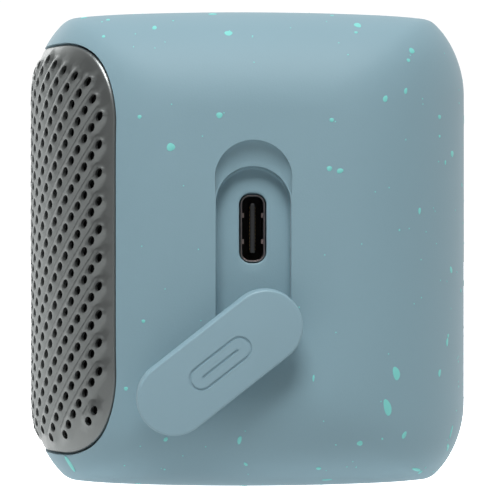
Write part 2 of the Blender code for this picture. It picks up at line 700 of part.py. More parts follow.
# ---------------------------------------------------------------- battery and boards
def make_battery(mats):
    floor = FOOT_REACH + WALL + HOLDER_LIFT
    half_length = CELL_LENGTH + CELL_SPACING / 2 + GAP
    half_width = CELL_RADIUS + GAP
    outer = rounded_rect(0, HOLDER_Y, half_length + HOLDER_WALL, half_width + HOLDER_WALL, HOLDER_WALL)
    top = floor + HOLDER_WALL + HOLDER_DEPTH
    holder = prism("battery_holder", outer, "Z", floor, top, mats["black_plastic"])
    inner = rounded_rect(0, HOLDER_Y, half_length, half_width, GAP)
    cut(holder, prism("holder_cutter", inner, "Z", floor + HOLDER_WALL, top + BEYOND))
    cell_z = floor + HOLDER_WALL + GAP + CELL_RADIUS
    outline = circle(HOLDER_Y, cell_z, CELL_RADIUS)
    for name, sign in (("left", -1), ("right", 1)):
        start = sign * CELL_SPACING / 2
        stop = start + sign * CELL_LENGTH
        prism(f"{name}_battery_cell", outline, "X", min(start, stop), max(start, stop), mats["cell"])


def make_boards(mats):
    board_z = CENTRE_Z + MAIN_BOARD_RISE
    back = DEPTH / 2 - WALL - STANDOFF_HEIGHT
    front = back - BOARD_SHEET
    outline = rounded_rect(0, board_z, MAIN_BOARD_HALF_LENGTH, MAIN_BOARD_HALF_HEIGHT, 2 * GAP)
    prism("main_circuit_board", outline, "Y", front, back, mats["board"])
    shield_z = board_z + MAIN_BOARD_HALF_HEIGHT - SHIELD_SIZE.z
    outline = rounded_rect(SHIELD_X, shield_z, SHIELD_SIZE.x / 2, SHIELD_SIZE.z / 2, GAP, 2)
    prism("bluetooth_shield", outline, "Y", front - GAP - SHIELD_SIZE.y, front - GAP, mats["steel"])
    outline = rounded_rect(0, 0, BUTTON_BOARD_HALF_LENGTH, BUTTON_BOARD_HALF_WIDTH, 2 * GAP)
    prism("button_board", outline, "Z", BUTTON_BOARD_TOP - BOARD_SHEET, BUTTON_BOARD_TOP, mats["board"])
    for name in BUTTON_NAMES:
        outline = circle(BUTTON_X[name], 0, SWITCH_RADIUS, 20)
        low = BUTTON_BOARD_TOP + GAP
        prism(f"{name}_switch", outline, "Z", low, low + SWITCH_HEIGHT, mats["steel"])
    outline = circle(LIGHT_X, 0, LIGHT_RADIUS, 16)
    prism("light_pipe", outline, "Z", BUTTON_BOARD_TOP + GAP, TOP_Z, mats["light"])


# ---------------------------------------------------------------- buttons and feet
def make_buttons(mat):
    top = TOP_Z + BUTTON_PROUD
    profile = (
        (0, top),
        (BUTTON_RADIUS - BUTTON_BEVEL, top),
        (BUTTON_RADIUS, top - BUTTON_BEVEL),
        (BUTTON_RADIUS, FLANGE_TOP),
        (BUTTON_RADIUS + BUTTON_FLANGE, FLANGE_TOP),
        (BUTTON_RADIUS + BUTTON_FLANGE, FLANGE_BOTTOM),
        (PLUNGER_RADIUS, FLANGE_BOTTOM),
        (PLUNGER_RADIUS, PLUNGER_END),
        (0, PLUNGER_END),
    )
    for name in BUTTON_NAMES:
        x = BUTTON_X[name]
        turned(f"{name}_button", profile, (x, 0), "Z", mat, 28, (x, 0, top))


def make_feet(mat):
    for name, sign in (("front", -1), ("rear", 1)):
        half_width = FOOT_WIDTH / 2
        outline = rounded_rect(0, sign * FOOT_Y, FOOT_LENGTH / 2, half_width, half_width - GAP / 4, 7)
        prism(f"{name}_foot", outline, "Z", 0, FOOT_HEIGHT, mat)


# ---------------------------------------------------------------- port and flap
def make_port(mats):
    half_short = SHELL_SHORT / 2
    half_long = SHELL_LONG / 2
    mouth = POCKET_FLOOR - GAP
    back = mouth - SHELL_DEPTH
    outline = rounded_rect(0, PORT_Z, half_short, half_long, SHELL_CORNER)
    shell = prism("usb_c_shell", outline, "X", back, mouth, mats["shell"])
    hollow = rounded_rect(
        0, PORT_Z, half_short - SHELL_SHEET, half_long - SHELL_SHEET, SHELL_CORNER - SHELL_SHEET
    )
    hollow_back = back + SHELL_SHEET
    cut(shell, prism("shell_cutter", hollow, "X", hollow_back, mouth + BEYOND))
    outline = rounded_rect(0, PORT_Z, TONGUE_SHORT / 2, TONGUE_LONG / 2, GAP, 2)
    prism("usb_c_tongue", outline, "X", hollow_back + GAP, mouth - TONGUE_BACK, mats["tongue"])
    low = half_short + GAP
    board_end = CAVITY_END - USB_GASKET_SHEET - 2 * GAP
    outline = [
        (low, PORT_Z - USB_BOARD_HALF_HEIGHT),
        (low + USB_BOARD_SHEET, PORT_Z - USB_BOARD_HALF_HEIGHT),
        (low + USB_BOARD_SHEET, PORT_Z + USB_BOARD_HALF_HEIGHT),
        (low, PORT_Z + USB_BOARD_HALF_HEIGHT),
    ]
    prism("usb_board", outline, "X", board_end - USB_BOARD_LENGTH, board_end, mats["board"])
    wide = GAP + USB_GASKET_WIDTH
    outline = rounded_rect(0, PORT_Z, half_short + wide, half_long + wide, SHELL_CORNER + wide)
    gasket_back = CAVITY_END - GAP - USB_GASKET_SHEET
    gasket = prism("usb_gasket", outline, "X", gasket_back, CAVITY_END - GAP, mats["foam"])
    hole = rounded_rect(0, PORT_Z, half_short + GAP, half_long + GAP, SHELL_CORNER + GAP)
    cut(gasket, prism("usb_gasket_cutter", hole, "X", gasket_back - GAP, CAVITY_END))


def make_flap(mat):
    """Plate with its stem and retaining bulb, drawn over the port and then swivelled about the stem."""
    closed = stadium(FLAP_PIVOT.y, FLAP_PIVOT.z, FLAP_PIVOT.z + FLAP_REACH, FLAP_HALF_WIDTH)
    slim = stadium(FLAP_PIVOT.y, FLAP_PIVOT.z, FLAP_PIVOT.z + FLAP_REACH, FLAP_HALF_WIDTH - FLAP_BEVEL)
    back = FLAP_PIVOT.x
    front = back + FLAP_SHEET
    rings = [
        [(back, y, z) for y, z in slim],
        [(back + FLAP_BEVEL, y, z) for y, z in closed],
        [(front - FLAP_BEVEL, y, z) for y, z in closed],
        [(front, y, z) for y, z in slim],
    ]
    flap = solid("port_flap", *skin(rings), mat, FLAP_PIVOT)
    inner_wall = (FLAP_PIVOT.x - CAVITY_END) / STEM_AXIS.x
    bulb_start = inner_wall + 2 * GAP
    stem = along_stem("stem_core", STEM_RADIUS, -FLAP_SHEET / 2, bulb_start + BULB_HEIGHT / 2)
    bulb = along_stem("stem_bulb", BULB_RADIUS, bulb_start, bulb_start + BULB_HEIGHT)
    combine(flap, stem, "UNION")
    combine(flap, bulb, "UNION")
    bpy.context.view_layer.update()
    turn = Matrix.Rotation(FLAP_TURN, 4, STEM_AXIS)
    for obj in (stem, bulb):
        obj.parent = flap
        obj.matrix_parent_inverse = flap.matrix_world.inverted()
    flap.rotation_mode = "QUATERNION"
    flap.rotation_quaternion = Quaternion(turn.to_quaternion())
    return flap


def make_materials():
    return {
        "case": material("case_soft_touch", (0.23, 0.36, 0.41), 0.75),
        "grille": material("grille_metal", (0.50, 0.52, 0.52), 0.38, 1.0),
        "cloth": material("acoustic_cloth", (0.02, 0.022, 0.024), 0.95),
        "black_plastic": material("black_plastic", (0.02, 0.02, 0.022), 0.5),
        "foam": material("foam_rubber", (0.03, 0.03, 0.032), 0.95),
        "steel": material("plated_steel", (0.62, 0.62, 0.60), 0.35, 1.0),
        "magnet": material("magnet_plating", (0.45, 0.45, 0.46), 0.4, 1.0),
        "cone": material("driver_cone", (0.05, 0.05, 0.055), 0.7),
        "piston": material("radiator_piston", (0.10, 0.10, 0.11), 0.5, 0.6),
        "rubber": material("black_rubber", (0.015, 0.015, 0.015), 0.7),
        "cell": material("battery_wrap", (0.05, 0.22, 0.42), 0.4),
        "board": material("circuit_board", (0.02, 0.16, 0.07), 0.45),
        "light": material("light_window", (0.85, 0.87, 0.88), 0.3),
        "button": material("button_rubber", (0.25, 0.38, 0.43), 0.7),
        "foot": material("foot_rubber", (0.45, 0.80, 0.76), 0.7),
        "shell": material("port_shell", (0.62, 0.55, 0.53), 0.3, 1.0),
        "tongue": material("port_tongue", (0.06, 0.06, 0.065), 0.5),
        "flap": material("flap_silicone", (0.26, 0.39, 0.44), 0.65),
    }


def hang_on_frame():
    """Parent every object to one empty, moved so that the whole box is centred on the origin."""
    frame = bpy.data.objects.new("speaker_frame", None)
    bpy.context.scene.collection.objects.link(frame)
    for obj in list(bpy.data.objects):
        if obj is not frame and obj.parent is None:
            obj.parent = frame
    frame.location.x = -(FLAP_STANDOFF + FLAP_SHEET) / 2


def main():
    clear_scene()
    mats = make_materials()
    make_housing(mats["case"])
    make_front(mats)
    make_driver("left", -DRIVER_SPACING, mats)
    make_driver("right", DRIVER_SPACING, mats)
    make_radiator(mats)
    make_battery(mats)
    make_boards(mats)
    make_buttons(mats["button"])
    make_feet(mats["foot"])
    make_port(mats)
    make_flap(mats["flap"])
    hang_on_frame()
    print("flap pivot on the frame", tuple(round(c, 6) for c in FLAP_PIVOT))
    print("stem axis", tuple(round(c, 6) for c in STEM_AXIS))


main()
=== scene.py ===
# %% [markdown]
# # A portable speaker, seen at its port end
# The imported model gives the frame: every size and place below is read from it or follows from it.
# The visible skins are then rebuilt as smooth surfaces, each from a formula worked out with numpy.

# %% Load the frame
import json
import math

import bmesh
import bpy
import numpy as np
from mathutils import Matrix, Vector, geometry
from mathutils.bvhtree import BVHTree


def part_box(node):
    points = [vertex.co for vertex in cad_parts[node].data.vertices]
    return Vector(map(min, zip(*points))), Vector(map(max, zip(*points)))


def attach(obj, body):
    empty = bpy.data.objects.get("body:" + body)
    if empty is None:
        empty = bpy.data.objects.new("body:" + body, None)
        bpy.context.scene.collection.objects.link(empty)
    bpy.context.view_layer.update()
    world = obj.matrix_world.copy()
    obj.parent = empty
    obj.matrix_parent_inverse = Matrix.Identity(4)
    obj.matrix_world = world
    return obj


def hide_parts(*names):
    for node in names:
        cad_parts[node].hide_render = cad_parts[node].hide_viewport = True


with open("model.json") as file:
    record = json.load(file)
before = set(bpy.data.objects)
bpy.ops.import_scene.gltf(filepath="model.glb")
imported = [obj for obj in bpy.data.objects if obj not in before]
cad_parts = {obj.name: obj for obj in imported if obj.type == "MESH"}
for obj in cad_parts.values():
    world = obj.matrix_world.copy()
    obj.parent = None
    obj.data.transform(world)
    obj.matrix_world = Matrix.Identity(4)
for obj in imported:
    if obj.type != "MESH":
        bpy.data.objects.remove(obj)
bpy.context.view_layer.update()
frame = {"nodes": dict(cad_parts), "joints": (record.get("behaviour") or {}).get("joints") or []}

# %% [markdown]
# ## Sizes
# The case follows the solid model: one section, drawn in at both ends by two quarter rounds. Its
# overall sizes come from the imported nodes. The radii are set here by name, because a box does not
# tell them, and the long edges are rounded 1 mm tighter than in the solid model.



# %% Sizes of the case
def middle_and_half(name):
    """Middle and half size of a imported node's box."""
    low, high = (np.array(corner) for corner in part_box(name))
    return (low + high) / 2, (high - low) / 2


MM = 0.001
case_middle, case_half = middle_and_half("main_housing")
shell_middle, shell_half = middle_and_half("usb_c_shell")
MIDDLE_X, _, CENTRE_Z = case_middle
HALF_LENGTH, _, HALF_HEIGHT = case_half
HALF_DEPTH = case_middle[1] + case_half[1]
CORNER_RADIUS = 14 * MM
CREASE_TURN = math.radians(43.5)
CREASE_RADIUS = 2.5 * MM
CROWN_SLOPE = math.radians(4)
PLAN_RADIUS = 19 * MM
END_RADIUS = 14 * MM
RING = 480
BODY_BEND = 6 * MM
print("case, mm:", [round(2000 * v, 1) for v in (HALF_LENGTH, HALF_DEPTH, HALF_HEIGHT)])

# %% [markdown]
# ## Helpers for meshes
# Most pieces are rings of points stacked into a skin. A ring is a closed outline, and neighbouring
# rings are joined by four-sided faces, so one helper serves the case, the flap and the buttons.


# %% Stack rings into a mesh
def ring_faces(rows, count, cap_start=True, cap_end=True):
    """Quads between neighbouring rings of equal length, and one flat face over each end ring."""
    start = count * np.arange(rows - 1)[:, None]
    here = np.arange(count)
    ahead = np.roll(here, -1)
    quads = np.stack([start + here, start + ahead, start + count + ahead, start + count + here], -1)
    faces = quads.reshape(-1, 4).tolist()
    if cap_start:
        faces.append(list(range(count))[::-1])
    if cap_end:
        faces.append(list(range((rows - 1) * count, rows * count)))
    return faces


def new_piece(name, points, look, body=None, sharp=35, faces=None, outward=True):
    """A mesh object at the origin, riding on a body; without faces, its points are stacked rings."""
    if faces is None:
        faces = ring_faces(*np.shape(points)[:2])
    mesh = bpy.data.meshes.new(name)
    mesh.from_pydata(np.asarray(points).reshape(-1, 3).tolist(), [], faces)
    if outward:
        bm = bmesh.new()
        bm.from_mesh(mesh)
        bmesh.ops.recalc_face_normals(bm, faces=bm.faces)
        bm.to_mesh(mesh)
        bm.free()
    mesh.shade_smooth()
    mesh.set_sharp_from_angle(angle=math.radians(sharp))
    piece = bpy.data.objects.new(name, mesh)
    bpy.context.scene.collection.objects.link(piece)
    if look is not None:
        mesh.materials.append(look)
    if body is not None:
        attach(piece, body)
    return piece


def merge_parts(parts):
    """One list of points and one of faces from many (points, faces)."""
    points, faces, start = [], [], 0
    for part_points, part_faces in parts:
        points.append(part_points)
        faces += [[start + k for k in face] for face in part_faces]
        start += len(part_points)
    return np.vstack(points), faces


def evenly(outline, count, bend=0.0, closed=True):
    """Points along an outline at equal steps of (length + bend times the angle turned)."""
    loop = np.vstack([outline, outline[:1]]) if closed else outline
    step = np.diff(loop, axis=0)
    length = np.hypot(step[:, 0], step[:, 1])
    heading = np.unwrap(np.arctan2(step[:, 1], step[:, 0]))
    turned = np.abs(np.diff(np.append(heading, heading[-1])))
    run = np.concatenate([[0.0], np.cumsum(length + bend * turned)])
    at = np.linspace(0, run[-1], count, endpoint=not closed)
    return np.column_stack([np.interp(at, run, loop[:, k]) for k in (0, 1)])


def arc_points(u, v, radius, start, stop, count):
    angle = np.linspace(start, stop, count)
    return np.column_stack([u + radius * np.cos(angle), v + radius * np.sin(angle)])


def circle(centre, radius, count):
    return arc_points(centre[0], centre[1], radius, 0, 2 * np.pi, count + 1)[:-1]


def quarter_round(radius, count):
    """Steps round a quarter circle, as radius * (1 - cos) and radius * (1 - sin) of its angle."""
    angle = np.linspace(0, np.pi / 2, count)
    return list(zip(radius * (1 - np.cos(angle)), radius * (1 - np.sin(angle))))


def stadium(low, high, radius, count=60):
    """Upright outline with round ends centred at (0, low) and (0, high), from its right side up."""
    middle = (low + high) / 2
    top = arc_points(0, high, radius, 0, np.pi, count)
    bottom = arc_points(0, low, radius, np.pi, 2 * np.pi, count)
    return np.vstack([[(radius, middle)], top, bottom])


def rounded_box(centre, half_u, half_v, radius, count=24):
    """Rectangle with rounded corners, from the middle of its right side up."""
    u, v = centre
    parts = []
    for k, (su, sv) in enumerate([(1, 1), (-1, 1), (-1, -1), (1, -1)]):
        start = k * np.pi / 2
        middle = (u + su * (half_u - radius), v + sv * (half_v - radius))
        parts.append(arc_points(*middle, radius, start, start + np.pi / 2, count))
    return np.vstack([[(u + half_u, v)]] + parts)


def at_x(x, outline):
    """An outline of (y, z) points placed at x, which may be one number or one for each point."""
    x = np.broadcast_to(x, len(outline))
    return np.column_stack([x + MIDDLE_X, outline[:, 0], outline[:, 1] + CENTRE_Z])


def at_heights(outline, heights):
    """An outline of (x, y) points repeated at each height."""
    return [np.column_stack([outline, np.full(len(outline), z)]) for z in heights]


# %% [markdown]
# ## Helpers for finishes
# Moulded plastic, silicone and metal all need the same three things: a colour that is not quite even,
# a roughness that wanders a little, and a fine grain that tilts the surface. Noise in Object
# coordinates gives all three at a real scale.


# %% A finish with grain
def set_inputs(node, **values):
    """Give a node's sockets their values by name, with underscores for spaces."""
    for socket, value in values.items():
        node.inputs[socket.replace("_", " ")].default_value = value
    return node


def finish(name, colour, roughness, metallic=0.0, grain=0.15, depth=0.02, uneven=0.04, **sockets):
    """Principled shader: colour and roughness vary by `uneven`, and a grain of that size in mm tilts it."""
    mat = bpy.data.materials.new(name)
    mat.use_nodes = True
    new, link = mat.node_tree.nodes.new, mat.node_tree.links.new
    shader = set_inputs(mat.node_tree.nodes["Principled BSDF"], Metallic=metallic, **sockets)
    place = new("ShaderNodeTexCoord").outputs["Object"]
    cloud = set_inputs(new("ShaderNodeTexNoise"), Scale=60, Detail=4)
    speck = set_inputs(new("ShaderNodeTexNoise"), Scale=1 / (grain * MM), Detail=3)
    dark, light = 1 - uneven, 1 + uneven
    blend = new("ShaderNodeMix")
    blend.data_type = "RGBA"
    set_inputs(blend, A=(*[c * dark for c in colour], 1), B=(*[min(1.0, c * light) for c in colour], 1))
    span = new("ShaderNodeMapRange")
    set_inputs(span, To_Min=roughness * dark, To_Max=min(1.0, roughness * light))
    bump = set_inputs(new("ShaderNodeBump"), Distance=depth * MM, Strength=1.0)
    link(place, cloud.inputs["Vector"])
    link(place, speck.inputs["Vector"])
    link(cloud.outputs["Fac"], blend.inputs["Factor"])
    link(cloud.outputs["Fac"], span.inputs["Value"])
    link(blend.outputs["Result"], shader.inputs["Base Color"])
    link(span.outputs["Result"], shader.inputs["Roughness"])
    link(speck.outputs["Fac"], bump.inputs["Height"])
    link(bump.outputs["Normal"], shader.inputs["Normal"])
    return mat


case_paint = finish(
    "case_soft_touch", (0.245, 0.388, 0.452), 0.62, grain=0.22, depth=0.012, uneven=0.03, Sheen_Weight=0.12
)
fleck_paint = finish("turquoise_fleck", (0.23, 0.70, 0.66), 0.55, grain=0.2, depth=0.01, uneven=0.08)
grille_metal = finish(
    "grille_satin_metal", (0.25, 0.266, 0.263), 0.36, 0.8, grain=0.14, depth=0.008, uneven=0.06
)
cloth_black = finish("acoustic_cloth", (0.008, 0.008, 0.009), 0.95, grain=0.35, depth=0.1, uneven=0.2)
print("finishes:", len(bpy.data.materials))

# %% [markdown]
# ## The case
# Seen from the end, the case is four large long-edge rounds that stop short of the top and bottom, so
# that a soft crease runs along each. The crown between two creases is a very shallow arc. All three
# are arcs that meet without a kink, so the outline is worked out from the angle that its normal turns
# through.


# %% Section of the case
def quarter_outline():
    """From the side to the top: each arc adds radius * (change of cos, change of sin) of its angle."""
    flat = math.pi / 2 - CROWN_SLOPE
    side = np.linspace(0, CREASE_TURN, 60)
    crease = np.linspace(CREASE_TURN, flat, 30)[1:]
    crown = np.linspace(flat, math.pi / 2, 40)[1:]
    y = CORNER_RADIUS * (np.cos(side) - 1)
    z = CORNER_RADIUS * np.sin(side)
    y2 = y[-1] + CREASE_RADIUS * (np.cos(crease) - math.cos(CREASE_TURN))
    z2 = z[-1] + CREASE_RADIUS * (np.sin(crease) - math.sin(CREASE_TURN))
    crown_radius = (HALF_DEPTH + y2[-1]) / math.cos(flat)
    y3 = y2[-1] + crown_radius * (np.cos(crown) - math.cos(flat))
    z3 = z2[-1] + crown_radius * (np.sin(crown) - math.sin(flat))
    y = HALF_DEPTH + np.concatenate([y, y2, y3])
    z = np.concatenate([z, z2, z3])
    return np.column_stack([y, z + HALF_HEIGHT - z[-1]])


def softened(quarter, power):
    """Superellipse point in each point's direction, in units of the half sizes: no crease is left."""
    turn = np.arctan2(quarter[:, 1] / HALF_HEIGHT, quarter[:, 0] / HALF_DEPTH)
    reach = (np.cos(turn) ** power + np.sin(turn) ** power) ** (-1 / power)
    return np.column_stack([HALF_DEPTH * reach * np.cos(turn), HALF_HEIGHT * reach * np.sin(turn)])


SOFT_POWER = 8.5
CREASED = np.vstack([[(HALF_DEPTH, 0.0)], quarter_outline()])
CREASED = evenly(CREASED, 240, BODY_BEND, closed=False)
SOFT = softened(CREASED, SOFT_POWER)
print("crease starts at, mm:", (quarter_outline()[59] * 1000).round(1))


# %% [markdown]
# The ends: at a distance x from the middle, the section shrinks in depth by one quarter round and in
# height by another. On the way to the flat end the crease fades, because the section is mixed with a
# superellipse of the same size. The rings crowd where the rounds turn fastest.


# %% Ends of the case
def drawn_in(x, radius):
    """How far a quarter round of this radius has come in at x."""
    past = np.clip(np.abs(x) - (HALF_LENGTH - radius), 0, radius)
    return radius - np.sqrt(radius**2 - past**2)


def end_shape(x):
    """Shares of the depth and height that are left at x, and how far the crease has faded there."""
    past = np.clip((np.abs(x) - (HALF_LENGTH - PLAN_RADIUS)) / PLAN_RADIUS, 0, 1)
    fade = past * past * (3 - 2 * past)
    return 1 - drawn_in(x, PLAN_RADIUS) / HALF_DEPTH, 1 - drawn_in(x, END_RADIUS) / HALF_HEIGHT, fade


def section_at(x):
    """The closed outline at x, from the middle of its +Y side up, at equal steps."""
    shrink_y, shrink_z, fade = end_shape(x)
    quarter = (CREASED * (1 - fade) + SOFT * fade) * (shrink_y, shrink_z)
    back = quarter[::-1][1:]
    loop = np.vstack([quarter, back * (-1, 1), quarter[1:] * (-1, -1), back[:-1] * (1, -1)])
    return evenly(loop, RING, BODY_BEND)


end_stations = HALF_LENGTH - PLAN_RADIUS + PLAN_RADIUS * np.sin(np.linspace(0, np.pi / 2, 34))
body_stations = np.linspace(1, -1, 14)[1:-1] * end_stations[0]
print("rings on each end:", len(end_stations))

# %% [markdown]
# ## The pocket for the port
# The pocket is a stadium sunk into the flat of the end, with the port's slot in its floor and a
# scoop for a fingernail above. It is the same skin as the case: the rings start inside the slot, run
# out over the floor, up the wall, over the lip and the scoop, and on across the flat.

# %% Rings of the pocket
POCKET_HALF_WIDTH = 4.95 * MM
POCKET_DEPTH = 3 * MM
POCKET_LOW = -9.15 * MM
POCKET_HIGH = 5.97 * MM
SCOOP_DEPTH = 1.5 * MM
SCOOP_RUN = 3.3 * MM
SCOOP_START = 0.8 * MM
SLOT_GAP = 0.18 * MM
LIP = 0.12 * MM
CORNER_FILLET = 0.4 * MM
SLOT_CORNER = 1.55 * MM
SLOT_DEPTH = 8 * MM
SLOT_ROUND = 0.2 * MM
SCOOP_FLARE = 0.06 * MM
SUPPORT_OUT = 0.14 * MM
PORT_Z = shell_middle[2] - CENTRE_Z
SLOT_HALF_Y = shell_half[1] + SLOT_GAP
SLOT_HALF_Z = shell_half[2] + SLOT_GAP
FLOOR_X = HALF_LENGTH - POCKET_DEPTH
FINE_BEND = 2 * MM


def slot_outline(grow):
    outline = rounded_box((0, PORT_Z), SLOT_HALF_Y + grow, SLOT_HALF_Z + grow, SLOT_CORNER + grow)
    return evenly(outline, RING, FINE_BEND)


def pocket_outline(grow, raised=0.0):
    outline = stadium(POCKET_LOW, POCKET_HIGH + raised, POCKET_HALF_WIDTH + grow)
    return evenly(outline, RING, FINE_BEND)


def pocket_rings():
    """Rings from inside the slot to the scoop's outer edge, each an outline and its x."""
    slot = slot_outline(0)
    rings = [at_x(FLOOR_X - SLOT_DEPTH, slot), at_x(FLOOR_X - SLOT_ROUND, slot)]
    for out, left in quarter_round(SLOT_ROUND, 4)[1:]:
        rings.append(at_x(FLOOR_X - left, slot_outline(out)))
    start, stop = slot_outline(SLOT_ROUND), pocket_outline(-CORNER_FILLET)
    for share in np.linspace(0, 1, 9)[1:]:
        rings.append(at_x(FLOOR_X, start * (1 - share) + stop * share))
    for up, left in quarter_round(CORNER_FILLET, 6)[1:]:
        rings.append(at_x(FLOOR_X + up, pocket_outline(-left)))
    above = pocket_outline(0)[:, 1] - POCKET_HIGH - SCOOP_START
    share = np.clip(above / (POCKET_HALF_WIDTH - SCOOP_START), 0, 1)
    sunk = SCOOP_DEPTH * (1 - (1 - share) ** 2)
    for out, left in quarter_round(LIP, 5):
        rings.append(at_x(HALF_LENGTH - sunk - left, pocket_outline(out)))
    for angle in np.linspace(0, np.pi / 2, 16)[1:]:
        share = math.sin(angle)
        outline = pocket_outline(LIP + SCOOP_FLARE * share, SCOOP_RUN * share)
        rings.append(at_x(HALF_LENGTH - sunk * math.cos(angle), outline))
    rings.append(at_x(HALF_LENGTH, pocket_outline(LIP + SUPPORT_OUT, SCOOP_RUN)))
    return rings


# %% Skin of the case
def case_rings():
    rings = pocket_rings()
    inner, outer = rings[-1], at_x(HALF_LENGTH, section_at(HALF_LENGTH))
    rings += [inner * (1 - share) + outer * share for share in np.linspace(0, 1, 7)[1:-1]]
    rings += [at_x(x, section_at(x)) for x in end_stations[::-1]]
    rings += [at_x(x, section_at(x)) for x in body_stations]
    rings += [at_x(-x, section_at(x)) for x in end_stations]
    far = at_x(-HALF_LENGTH, section_at(HALF_LENGTH))
    heart = np.array([MIDDLE_X - HALF_LENGTH, 0, CENTRE_Z])
    rings += [heart + (far - heart) * share for share in (0.6, 0.25)]
    return rings


rings = case_rings()
case = new_piece("speaker_case", rings, case_paint, "case", 40)
print("case rings:", len(rings), "points:", len(case.data.vertices))

# %% [markdown]
# ## Following the front
# The grille, its seat and its cloth all follow the front round both vertical corners. A point on the
# front is named by s, the way along it from the middle, and z. Moving it out along the normal gives
# every layer of the front.

# %% Points on the front
GRILLE_HALF_S = HALF_LENGTH - PLAN_RADIUS + 22.4 * MM
GRILLE_HALF_Z = 27.7 * MM
GRILLE_CORNER = 11.5 * MM


def front_point(s, z):
    """x turns through s / radius past the straight; y is where the section at x reaches that z.

    The place along the section's quarter is found by halving the interval it lies in.
    """
    straight = HALF_LENGTH - PLAN_RADIUS
    turned = np.clip(np.abs(s) - straight, 0, None) / PLAN_RADIUS
    x = np.sign(s) * (np.minimum(np.abs(s), straight) + PLAN_RADIUS * np.sin(turned))
    shrink_y, shrink_z, fade = end_shape(x)
    wanted = np.abs(z) / shrink_z
    index = np.arange(len(CREASED))

    def quarter(k, column):
        plain = np.interp(k, index, CREASED[:, column])
        return plain + (np.interp(k, index, SOFT[:, column]) - plain) * fade

    low, high = np.zeros(np.shape(x)), np.full(np.shape(x), len(CREASED) - 1.0)
    for _ in range(26):
        middle = (low + high) / 2
        above = quarter(middle, 1) > wanted
        low, high = np.where(above, low, middle), np.where(above, middle, high)
    y = -shrink_y * quarter(low, 0)
    return np.stack([x + MIDDLE_X, y, z + CENTRE_Z], -1)


def front_normal(s, z):
    step = 0.02 * MM
    along = front_point(s + step, z) - front_point(s - step, z)
    up = front_point(s, z + step) - front_point(s, z - step)
    normal = np.cross(along, up)
    return normal / np.linalg.norm(normal, axis=-1, keepdims=True)


def front_layer(s, z, out):
    return front_point(s, z) + front_normal(s, z) * np.asarray(out)[..., None]


def inside_outline(s, z, half_s, half_z, corner):
    """Distance in from the edge of a rounded rectangle, negative outside it."""
    qs = np.abs(s) - (half_s - corner)
    qz = np.abs(z) - (half_z - corner)
    reach = np.hypot(np.clip(qs, 0, None), np.clip(qz, 0, None))
    return corner - reach - np.minimum(np.maximum(qs, qz), 0)


# %% [markdown]
# The seat of the grille is cut into the case with a Boolean: a thick sheet that follows the front,
# a little larger than the grille. The wells of the buttons and feet are cut the same way.


# %% Cut the seat, the wells and the grooves
def seat_cutter(grow, outer, inner):
    """Rows at heights z, each as long as the rounded rectangle is there, on two layers."""
    half_s, half_z = GRILLE_HALF_S + grow, GRILLE_HALF_Z + grow
    corner = GRILLE_CORNER + grow
    angle = np.linspace(0, np.pi / 2, 20)
    top = half_z - corner + corner * np.sin(angle)
    z = np.concatenate([-top[::-1], np.linspace(-top[0], top[0], 12)[1:-1], top])
    past = np.clip(np.abs(z) - (half_z - corner), 0, corner)
    reach = half_s - corner + np.sqrt(corner**2 - past**2)
    straight = HALF_LENGTH - PLAN_RADIUS
    bend = np.linspace(0, 1, 40)
    right = straight + (reach[:, None] - straight) * bend
    middle = np.broadcast_to(np.linspace(-straight, straight, 12)[1:-1], (len(z), 10))
    s = np.hstack([-right[:, ::-1], middle, right])
    rows, wide = s.shape
    zz = np.broadcast_to(z[:, None], s.shape)
    layers = np.stack([front_layer(s, zz, outer), front_layer(s, zz, inner)])
    index = np.arange(rows * wide).reshape(rows, wide)
    a = index[:-1, :-1].ravel()
    face = np.stack([a, a + 1, a + wide + 1, a + wide], -1)
    under = face[:, ::-1] + rows * wide
    rim = np.concatenate([index[0], index[1:, -1], index[-1, -2::-1], index[-2:0:-1, 0]])
    nxt = np.roll(rim, -1)
    wall = np.stack([rim, rim + rows * wide, nxt + rows * wide, nxt], -1)
    return layers.reshape(-1, 3), np.vstack([face, under, wall]).tolist()


def cut_away(target, name, points, faces=None):
    cutter = new_piece(name, points, None, faces=faces)
    step = target.modifiers.new(name, "BOOLEAN")
    step.operation = "DIFFERENCE"
    step.solver = "EXACT"
    step.object = cutter
    bpy.context.view_layer.objects.active = target
    bpy.ops.object.modifier_apply(modifier=name)
    bpy.data.objects.remove(cutter, do_unlink=True)


SEAT_GAP = 0.13 * MM
SEAT_DEPTH = 1.65 * MM
CUT_BEYOND = 3 * MM
cut_away(case, "grille_seat", *seat_cutter(SEAT_GAP, CUT_BEYOND, -SEAT_DEPTH))
BUTTONS = ("power", "bluetooth", "volume_down", "play", "volume_up")
BUTTON_RADIUS = 5 * MM
BUTTON_GAP = 0.3 * MM
LIGHT_WELL_RADIUS = 1.3 * MM
WELL_DEPTH = 3.4 * MM
FOOT_GAP = 0.25 * MM
GROOVE_TOP = 1.6 * MM
top_z = CENTRE_Z + HALF_HEIGHT
well_heights = (top_z - WELL_DEPTH, top_z + CUT_BEYOND)
button_places = {name: middle_and_half(f"{name}_button")[0][:2] for name in BUTTONS}
for name, place in button_places.items():
    rim = circle(place, BUTTON_RADIUS + BUTTON_GAP, 64)
    cut_away(case, f"{name}_well", at_heights(rim, well_heights))
rim = circle(middle_and_half("light_pipe")[0], LIGHT_WELL_RADIUS, 32)
cut_away(case, "light_well", at_heights(rim, well_heights))
for name in ("front", "rear"):
    middle, half = middle_and_half(f"{name}_foot")
    half = half + FOOT_GAP
    outline = rounded_box(middle[:2], half[0], half[1], half[1] - 0.01 * MM, 16)
    cut_away(case, f"{name}_groove", at_heights(outline, (-CUT_BEYOND, GROOVE_TOP)))
case.data.set_sharp_from_angle(angle=math.radians(40))
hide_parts("main_housing")
print("case after cutting:", len(case.data.polygons), "faces")

